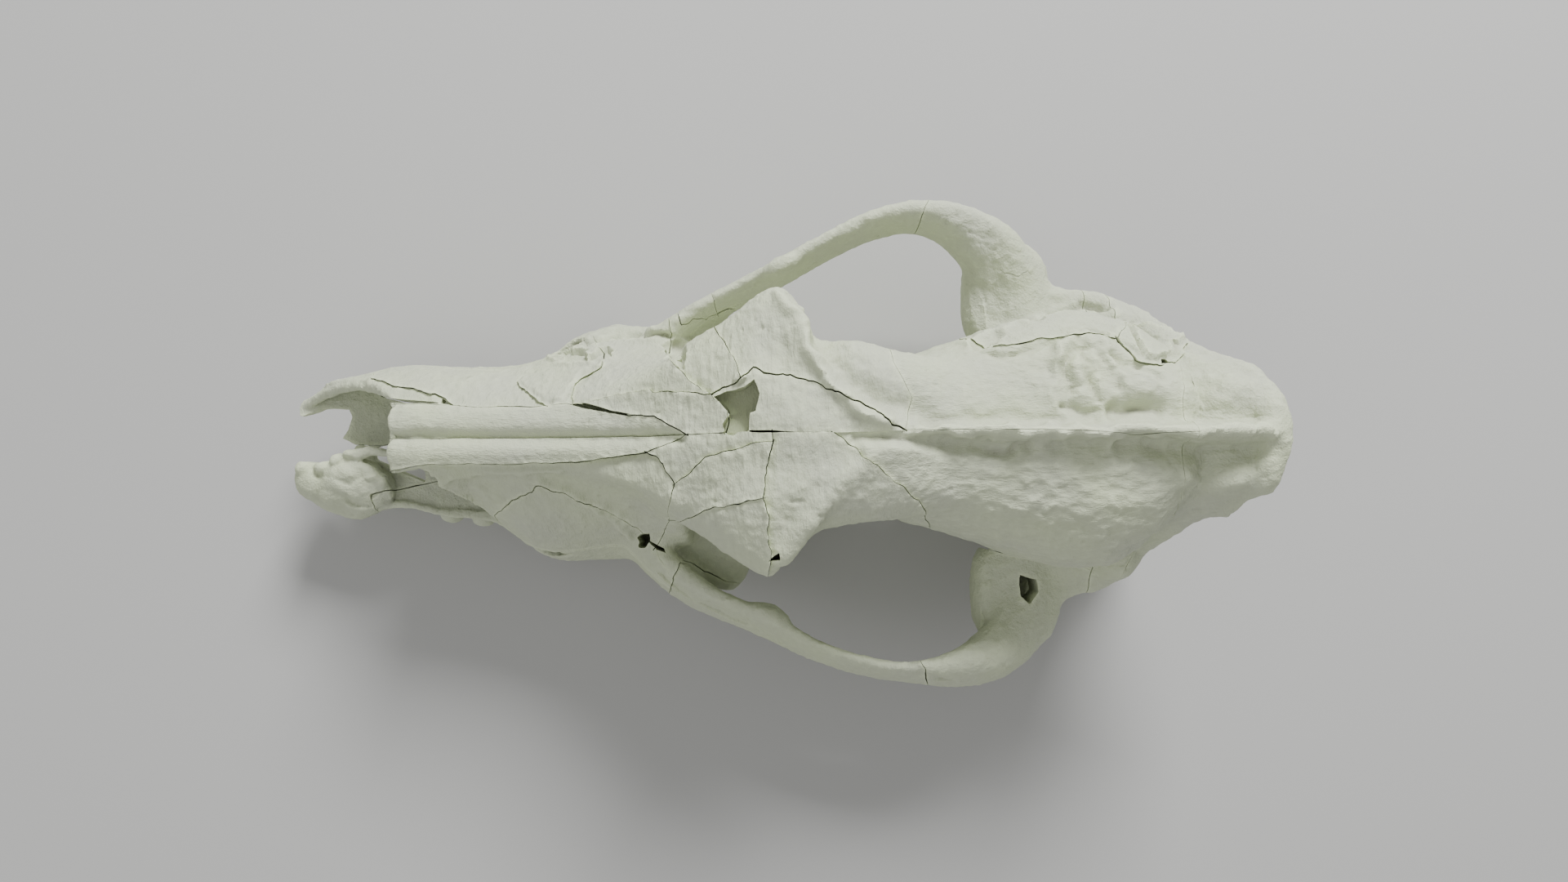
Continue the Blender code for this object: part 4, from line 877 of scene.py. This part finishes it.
# Each hole's outline seen from above, lowest and highest level, and how ragged it is
HOLES = (
    (((-5.6, 8.6), (-2.8, 9.9), (1.9, 10.7), (3.9, 12.4), (5.1, 9.0), (4.4, 4.9), (2.9, 4.6), (2.7, 0.5),
     (0.3, 0.1), (-0.9, -0.9), (-2.3, -0.5), (-3.4, 1.7), (-1.9, 4.4), (-3.4, 5.9)), 75.2, HIGH, 0.3),
    (((-18.4, 21.2), (-14.4, 20.1), (-13.9, 17.8), (-16.5, 19.2)), 40, HIGH, 0.25),
    (((-28.8, -25.6), (-27.4, -24.6), (-24.9, -24.2), (-25.3, -26.5), (-26.6, -28.2), (-28.6, -28.2),
     (-27.8, -26.9)), 26, HIGH, 0.3),
    (((-25.5, -26.3), (-21.3, -28.4), (-20.7, -29.7), (-23.3, -28.8), (-25.3, -27.2)), 26, HIGH, 0.15),
    (((73.9, -35.7), (77.9, -36.8), (78.7, -40), (76.2, -43.2), (73.7, -41.1)), 27, 60, 0.4),
    (((70, -28.6), (71.2, -27.8), (71.6, -29.6)), 32, 60, 0.2),
    (((-96, 11.6), (-92, 11.0), (-86, 10.3), (-79.5, 9.75), (-77.6, 9.3), (-80, 9.25), (-87, 9.4),
     (-96, 10.0)), 34, HIGH, 0.1),
    (((-77.2, 10.6), (-77.4, 9.3), (-74.6, 8.9)), 44, HIGH, 0.08),
    (((-99, -8.2), (-90, -8.5), (-82, -7.3), (-79.6, -8.4), (-79, -12), (-99, -12)), 40, HIGH, 0.2),
    (((-39.5, 8.7), (-37.6, 7.3), (-31.5, 5.6), (-24.5, 4.8), (-31.3, 6.3), (-37.4, 8.2)), 52, HIGH, 0.1),
    (((2.7, 0.75), (8.9, 0.6), (15.5, 0.1), (9, -0.15), (3, -0.1)), 74, HIGH, 0.08),
    (((99.5, 16.6), (102.4, 17.0), (102, 18.4), (100, 18.2)), 62, HIGH, 0.3),
    (((-7.6, -25.1), (-6.2, -25.7), (-7.8, -26.3)), 50, HIGH, 0.1),
    (((8.4, -28.2), (9.7, -27.4), (9.9, -29.2), (7.0, -29.5)), 70, HIGH, 0.1),
)


def losses():
    """Everything that is cut away where bone was lost."""
    cuts = [torn("lost incisor bone", LOST_INCISORS, LOW, HIGH, 0.4, 401),
            torn("palatal slit", SLIT_LEFT, LOW, 26, 0.2, 411)]
    for number, (outline, low, high, wander) in enumerate(HOLES):
        cuts.append(torn("hole", outline, low, high, wander, 420 + number))
    return cuts


# The bones and fragments themselves. The breaks and losses are cut out of the skin in one go, and each loose
# part that is left is one bone, known by a point on it. Whatever else comes loose is a crumb.
BONES = {
    "nasal_right": (-60, 4, 59), "nasal_left": (-60, -3.5, 59),
    "premaxilla_right": (-95, 13, 44), "premaxilla_left": (-112, -20, 30),
    "maxilla_right_front": (-75, 16, 48), "maxilla_right_middle": (-51, 15, 54),
    "maxilla_right_rear": (-28, 18, 58),
    "maxilla_left_upper": (-45, -9.5, 60), "maxilla_left_lower": (-45, -25, 45),
    "frontal_right_strip": (-25, 7.5, 67), "lacrimal_right": (-8, 17, 72),
    "frontal_right": (10, 26, 79), "frontal_right_plate": (15, 6, 84),
    "frontal_left_strip": (0, -2.5, 81), "frontal_left_front": (-5, -12, 77),
    "supraorbital_left": (-2, -24, 73), "frontal_left": (18, -10, 84),
    "parietal_right": (70, 12, 78), "parietal_left": (75, -18, 76),
    "temporal_right": (72, 29, 60), "nuchal_right": (100, 26, 45), "occipital": (118, 0, 72),
    "upper_jaw_right": (-50, 22, 20), "upper_jaw_left": (-50, -22, 20),
    "sphenoid": (40, 0, 25), "bulla_right": (78, 19, 6), "bulla_left": (78, -19, 6),
    "squamosal_right": (74, 42, 31), "squamosal_left": (74, -42, 31),
    "jugal_right": (20, 53, 38), "jugal_left": (20, -55, 38), "occipital_base": (108, 0, 20),
}


def parted(whole, seeds):
    """The loose parts of a mesh, each by the name of the point that it is nearest to, without crumbs."""
    for obj in list(bpy.context.selected_objects):
        obj.select_set(False)
    bpy.context.view_layer.objects.active = whole
    whole.select_set(True)
    bpy.ops.mesh.separate(type="LOOSE")
    loose = list(bpy.context.selected_objects)
    places = {obj: vertices_of(obj) for obj in loose}
    found = {}
    for name, point in seeds.items():
        nearest = min(places, key=lambda obj: np.linalg.norm(places[obj] - point, axis=1).min())
        places.pop(nearest)
        nearest.name = name + "_bone"
        nearest.data.name = nearest.name
        found[name] = nearest
    for obj in places:
        bpy.data.objects.remove(obj, do_unlink=True)
    return found


cut_by(skull, breaks() + losses())
bones = parted(skull, BONES)

# How the edges of the fragments meet: beside a crack one plate stands higher or has sunk, by so many
# millimetres, fading over so many. Elsewhere crumbs are lost along the cracks, but not along grown sutures.
EDGES = {
    "maxilla_left_upper": (("left nasal", -1.7, 4.5), ("left maxilla", 0.3, 2.0)),
    "nasal_left": (("left nasal", 0.5, 1.5), ("nasal middle", 0.5, 1.0)),
    "nasal_right": (("nasal middle", -0.5, 1.0), ("right nasal", 0.4, 1.2)),
    "premaxilla_right": (("right premaxilla", -0.5, 2.5),),
    "maxilla_right_front": (("right premaxilla", 0.5, 2.0), ("right maxilla, front crack", -0.7, 2.0)),
    "maxilla_right_middle": (("right maxilla, front crack", 0.5, 1.5),
        ("right maxilla, rear crack", 0.5, 1.5)),
    "maxilla_right_rear": (("right maxilla, rear crack", -0.6, 2.0),
        ("right maxilla, back edge", 0.9, 3.0)),
    "lacrimal_right": (("right maxilla, back edge", -0.8, 2.5), ("right tear bone", 0.6, 1.5)),
    "frontal_right_plate": (("right forehead plate", -0.2, 1.2), ("middle", -0.4, 1.5)),
    "frontal_right": (("right forehead plate", 0.45, 0.8),),
    "frontal_right_strip": (("right forehead strip", 0.7, 1.8), ("right maxilla, back edge", 0.5, 2.0),
        ("right nasal", 0.6, 1.2)),
    "frontal_left_strip": (("left forehead strip", -0.5, 1.5),),
    "frontal_left_front": (("left brow, back crack", 0.7, 1.2), ("left brow, front crack", 0.5, 1.5),
        ("left maxilla, back edge", -0.4, 1.5)),
    "supraorbital_left": (("left brow, back crack", 0.9, 1.2), ("left brow, front crack", -0.3, 1.5)),
    "frontal_left": (("left brow, back crack", -0.4, 2.5), ("left crown", 0.3, 1.5)),
    "parietal_left": (("left crown", -0.3, 1.5),),
    "temporal_right": (("right temple", 0.6, 1.5),),
    "nuchal_right": (("right nape", 0.9, 1.5), ("right temple", 0.6, 1.5)),
    "maxilla_left_lower": (("left maxilla", -0.5, 2.0),),
}
GROWN = ("nasal middle", "crest", "right crown", "nape")
# Breadth and depth of the crumbled edge, and the level above which edges shift, and how soon in full
CRUMBLED = 0.9
CRUMB_DEPTH = 0.3
UPPER_SIDE = (38, 6)


def edged(name):
    """Raise or sink a fragment's edges beside its cracks, and crumble them."""
    points = vertices_of(bones[name])
    facing = normals_of(bones[name])
    rise = np.zeros(len(points))
    for seam, height, fade in EDGES.get(name, ()):
        distance = near(points, UPPER_SEAMS[seam], 5 * fade)
        rise += height * np.exp(-distance / fade)
    for seam, line in UPPER_SEAMS.items():
        if seam not in GROWN:
            distance = near(points, line, 3)
            lost = np.clip(lumps(points, 1.4, 61) * 1.3 - 0.05, 0, 1) * np.exp(-(distance / CRUMBLED) ** 2)
            rise -= CRUMB_DEPTH * lost * (facing[:, 2] > 0.15)
    start, fade = UPPER_SIDE
    upper = np.clip((points[:, 2] - start) / fade, 0, 1)
    points[:, 2] += rise * upper
    moved_to(bones[name], points)


# The bone's own surface, the same in all fragments: dry, matte and chalky, pale with a green-grey cast,
# with painted shade that darkens the hollows towards brown-grey, and rubbed paler along the edges and ridges.
HOLLOW_ROUNDS = 12


def hollowness(obj):
    """How hollow the surface is at each point, negative on edges and ridges, by smoothing a copy of it."""
    edges = np.empty(len(obj.data.edges) * 2, np.int32)
    obj.data.edges.foreach_get("vertices", edges)
    a, b = edges.reshape(-1, 2).T
    start = vertices_of(obj)
    count = np.bincount(a, minlength=len(start)) + np.bincount(b, minlength=len(start))
    points = start
    for _ in range(HOLLOW_ROUNDS):
        total = np.stack([np.bincount(a, points[b, k], len(start)) + np.bincount(b, points[a, k], len(start))
                          for k in range(3)], axis=1)
        points = points * 0.4 + 0.6 * total / np.maximum(count, 1)[:, None]
    return np.sum((points - start) * normals_of(obj), axis=1)


class Value:
    """A socket that carries a number, with Python's operators as Math nodes."""

    def __init__(self, skin, socket):
        self.skin = skin
        self.socket = socket

    def maths(self, operation, *others):
        """One Math node on these values."""
        slots = {i: other for i, other in enumerate(others)}
        return self.skin.node("ShaderNodeMath", {"operation": operation}, slots)

    def __add__(self, other):
        return self.maths("ADD", self, other)

    def __radd__(self, other):
        return self.maths("ADD", other, self)

    def __sub__(self, other):
        return self.maths("SUBTRACT", self, other)

    def __rsub__(self, other):
        return self.maths("SUBTRACT", other, self)

    def __mul__(self, other):
        return self.maths("MULTIPLY", self, other)

    def __rmul__(self, other):
        return self.maths("MULTIPLY", other, self)

    def clipped(self):
        return self.skin.node("ShaderNodeClamp", {}, {"Value": self})


class Skin:
    """A material being put together, node by node."""

    def __init__(self, name):
        self.material = bpy.data.materials.new(name)
        self.material.use_nodes = True
        self.tree = self.material.node_tree
        self.shader = self.tree.nodes["Principled BSDF"]

    def node(self, kind, settings, sockets, output=0):
        """A node of one type, its settings first and then the values or links of its sockets."""
        made = self.tree.nodes.new(kind)
        for key, value in settings.items():
            setattr(made, key, value)
        for key, value in sockets.items():
            self.feed(made.inputs[key], value)
        return Value(self, made.outputs[output])

    def feed(self, socket, value):
        """Link a value to a socket, or set the socket to a plain number or colour."""
        if isinstance(value, Value):
            self.tree.links.new(value.socket, socket)
        else:
            socket.default_value = value

    def blend(self, share, one, two):
        """A colour between two others."""
        return self.node("ShaderNodeMix", {"data_type": "RGBA"}, {"Factor": share, 6: one, 7: two}, 2)

    def noise(self, place, scale, detail=4.0, roughness=0.55):
        """Smooth random values, in so many lumps to a metre."""
        return self.node("ShaderNodeTexNoise", {"noise_dimensions": "3D"},
                         {"Vector": place, "Scale": scale, "Detail": detail, "Roughness": roughness})


PALE = (0.575, 0.635, 0.42, 1)
CHALK = (0.69, 0.745, 0.53, 1)
DULL = (0.515, 0.545, 0.425, 1)
# Painted shade: the brown-grey that the hollows are darkened towards, where shade falls.
PAINTED_SHADE = (0.37, 0.375, 0.29, 1)


def bone_skin(name, grain=(1, 1, 1), pale=PALE, rough=1.0):
    """Matte bone: mottled green-grey, with painted shade darkening the hollows, chalky where rubbed, scored
    along its grain.
    """
    skin = Skin(name)
    place = skin.node("ShaderNodeTexCoord", {}, {}, 3)
    drawn = skin.node("ShaderNodeVectorMath", {"operation": "MULTIPLY"}, {0: place, 1: grain})
    hollow = skin.node("ShaderNodeAttribute", {"attribute_name": "hollow"}, {}, 2)
    cloud = skin.noise(place, 45.0)
    mottle = skin.noise(place, 240.0, 5.0, 0.6)
    score = skin.noise(drawn, 620.0, 4.0, 0.62)
    speck = skin.noise(place, 1500.0, 2.0, 0.6)
    colour = skin.blend(((cloud - 0.36) * 2.2).clipped(), DULL, pale)
    colour = skin.blend(((mottle - 0.52) * 2.2).clipped() * 0.35, colour, CHALK)
    colour = skin.blend((hollow * -2.4 + (speck - 0.5) * 0.4).clipped() * 0.6, colour, CHALK)
    # Painted shade: the hollows are darkened towards brown-grey, as shade would fall in them.
    colour = skin.blend((hollow * 2.4 - 0.1 + (mottle - 0.5) * 0.5).clipped() * 0.45, colour, PAINTED_SHADE)
    skin.feed(skin.shader.inputs["Base Color"], colour)
    skin.feed(skin.shader.inputs["Roughness"], (0.66 + speck * 0.25).clipped())
    height = (score * 2 - 1).maths("ABSOLUTE", score * 2 - 1) * 0.6 + speck * 0.2 + mottle * 0.5
    bump = skin.node("ShaderNodeBump", {}, {"Strength": 0.8 * rough, "Distance": 0.0007, "Height": height})
    skin.feed(skin.shader.inputs["Normal"], bump)
    return skin.material


# The frame's origin, in the millimetres of the tables above: on the floor, under the skull's middle
CENTRE = (0.65, -0.68, 0.16)
SHARP = math.radians(38)
BONE = bone_skin("dry bone")
CROSS_GRAINED = bone_skin("bone with grain across", (1.0, 0.28, 0.5))
LONG_GRAINED = bone_skin("bone with grain along", (0.3, 1.0, 1.0))


def with_hollows(piece):
    """Note on each point of a piece how hollow its surface is there, for the painted shade in the hollows and
    the rubbed edges.
    """
    hollow = piece.data.attributes.new("hollow", "FLOAT", "POINT")
    hollow.data.foreach_set("value", hollowness(piece).astype(np.float32))


def finished(piece, skin, *nodes):
    """A piece's surface, its place in the frame, and its bond to the solids that it stands for."""
    piece.data.materials.clear()
    piece.data.materials.append(skin)
    piece.data.transform(Matrix.Translation(-Vector(CENTRE) * MM))
    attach(piece, "root")
    if nodes:
        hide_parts(*nodes)


def settled(obj, lift, tip, lean):
    """Shift a fragment as the glue left it: raised by lift, and turned in degrees about its own middle."""
    points = vertices_of(obj)
    middle = (points.min(0) + points.max(0)) / 2
    turn = Matrix.Rotation(math.radians(tip), 4, "Y") @ Matrix.Rotation(math.radians(lean), 4, "X")
    shift = Matrix.Translation(Vector(middle + (0, 0, lift)) * MM)
    obj.data.transform(shift @ turn @ Matrix.Translation(-Vector(middle) * MM))


def dressed(name, skin, lift, tip, lean):
    """One fragment, set in its place with its edges, shading and surface."""
    piece = bones[name]
    bm = bmesh.new()
    bm.from_mesh(piece.data)
    bmesh.ops.triangulate(bm, faces=[f for f in bm.faces if len(f.verts) > 4])
    bm.to_mesh(piece.data)
    bm.free()
    with_hollows(piece)
    edged(name)
    settled(piece, lift, tip, lean)
    piece.data.shade_smooth()
    piece.data.set_sharp_from_angle(angle=SHARP)
    finished(piece, skin, name)


# How the glue holds the fragments: raised in millimetres, and turned in degrees about Y and X. Plates that
# split off stand a little proud of their neighbours, and the rest fit as they grew.
SETTING = {
    "nasal_right": (0.1, 0, 0),
    "maxilla_right_middle": (0.35, 0, 0.6),
    "maxilla_right_rear": (0.1, 0, 0),
    "maxilla_left_upper": (0.3, 0, 0),
    "frontal_right_strip": (0.2, 0, 0),
    "frontal_right_plate": (0.5, 0, 0.6),
    "frontal_left_strip": (0.4, 0, 0),
    "frontal_left_front": (0.7, 0, 0),
    "supraorbital_left": (0.8, 0, 0),
}
PLATE_BONES = ("frontal", "lacrimal", "supraorbital", "maxilla")
for name in BONES:
    skin = LONG_GRAINED if name.startswith(("parietal", "nasal")) else BONE
    if name.startswith(PLATE_BONES):
        skin = CROSS_GRAINED
    dressed(name, skin, *SETTING.get(name, (0, 0, 0)))

# The cheek teeth that are left, five on each side, smoother and paler than the bone. Each is a blade of old
# enamel whose root stands in the jaw's rim. The table gives first and last x, breadth, height and cusps.
CHEEK_TEETH = (("second premolar", -77, -66, 5.0, 7.0, 1), ("third premolar", -61, -46.5, 5.8, 8.0, 1),
               ("carnassial", -43, -18.5, 9.5, 16.2, 2), ("first molar", -17.5, -5, 15.0, 8.5, 2),
               ("second molar", -4.3, 2.5, 10.0, 6.5, 1))
TOOTH_GRAIN = 0.4


def tooth(name, start, end, breadth, height, cusps, side):
    """A cheek tooth set in the rim: a blade with one or two cusps, its root sunk in the bone."""
    widths = SNOUT_RIGHT if side == 1 else SNOUT_LEFT
    rings = []
    for x in steps(start, end, (end - start) / 8):
        t = (x - start) / (end - start)
        rim = along(RIM, x)
        across = breadth / 2 * (0.35 + 0.65 * math.sin(math.pi * min(max(t, 0.04), 0.96)) ** 0.6)
        edge = along(widths, min(x, SNOUT_BACK)) * 0.97 - max(0.0, x - SNOUT_BACK) * 0.35
        middle = (edge - breadth / 2) * side
        peak = 1 - abs(t - 0.45) * 1.7
        if cusps == 2:
            peak = max(1 - abs(t - 0.33) * 2.6, 0.72 - abs(t - 0.75) * 2.2)
        tip = rim - height * max(peak, 0.28)
        half = ((1.0, rim + 4.5), (1.05, rim - 0.5), (0.75, rim + (tip - rim) * 0.55), (0.25, tip))
        ring = half + tuple((-a, z) for a, z in half[::-1])
        rings.append([(x, middle + across * a, z) for a, z in ring])
    return solid(name, rings)


ENAMEL = bone_skin("old enamel", (1, 1, 1), (0.66, 0.64, 0.52, 1), 0.3)
for side, word in ((1, "right"), (-1, "left")):
    for row in CHEEK_TEETH:
        name = row[0].replace(" ", "_") + "_" + word
        piece = fused(name, [tooth(*row, side)], TOOTH_GRAIN, 3)
        with_hollows(piece)
        piece.data.shade_smooth()
        finished(piece, ENAMEL)

# The stage: a plain pale floor, soft light with its key from the upper right of the picture, and the camera
# nearly straight above the skull, as in the photograph.
FLOOR_REACH = 3
floor_mesh = bpy.data.meshes.new("floor")
corners = [(-FLOOR_REACH, -FLOOR_REACH, 0), (FLOOR_REACH, -FLOOR_REACH, 0), (FLOOR_REACH, FLOOR_REACH, 0),
           (-FLOOR_REACH, FLOOR_REACH, 0)]
floor_mesh.from_pydata(corners, [], [(0, 1, 2, 3)])
floor = placed("floor", floor_mesh)
plain = Skin("plain floor")
plain.feed(plain.shader.inputs["Base Color"], (0.47, 0.47, 0.46, 1))
plain.feed(plain.shader.inputs["Roughness"], 0.9)
floor_mesh.materials.append(plain.material)
LAMP_AIM = (0, 0, 0.04)


def lamp(name, place, size, watts):
    """A square soft light at a place in metres, turned to the skull."""
    data = bpy.data.lights.new(name, "AREA")
    data.size = size
    data.energy = watts
    obj = placed(name, data)
    obj.location = place
    obj.rotation_mode = "QUATERNION"
    obj.rotation_quaternion = (Vector(LAMP_AIM) - Vector(place)).to_track_quat("-Z", "Y")


lamp("key", (0.30, 0.90, 0.72), 0.4, 22.5)
lamp("fill", (-0.5, -0.6, 0.75), 1.2, 3)
world = bpy.data.worlds.new("soft studio")
bpy.context.scene.world = world
world.use_nodes = True
sky = world.node_tree.nodes["Background"]
sky.inputs["Color"].default_value = (1, 1, 1, 1)
sky.inputs["Strength"].default_value = 0.42

CAMERA_AIM = (10.7, 0.0, 45.0)
CAMERA_DISTANCE = 280.0
CAMERA_TILT = 3.0
VIEW_ANGLE = 45.0
SENSOR = 36
lens = bpy.data.cameras.new("photo camera")
lens.sensor_width = SENSOR
lens.lens = SENSOR / 2 / (math.tan(math.radians(VIEW_ANGLE / 2)) * 16 / 9)
camera = placed("photo camera", lens)
aim = (Vector(CAMERA_AIM) - Vector(CENTRE)) * MM
tilt = math.radians(CAMERA_TILT)
camera.location = aim + Vector((0, -math.sin(tilt), math.cos(tilt))) * CAMERA_DISTANCE * MM
camera.rotation_mode = "QUATERNION"
camera.rotation_quaternion = (aim - camera.location).to_track_quat("-Z", "Y")
lens.clip_start = 0.01
bpy.context.scene.camera = camera
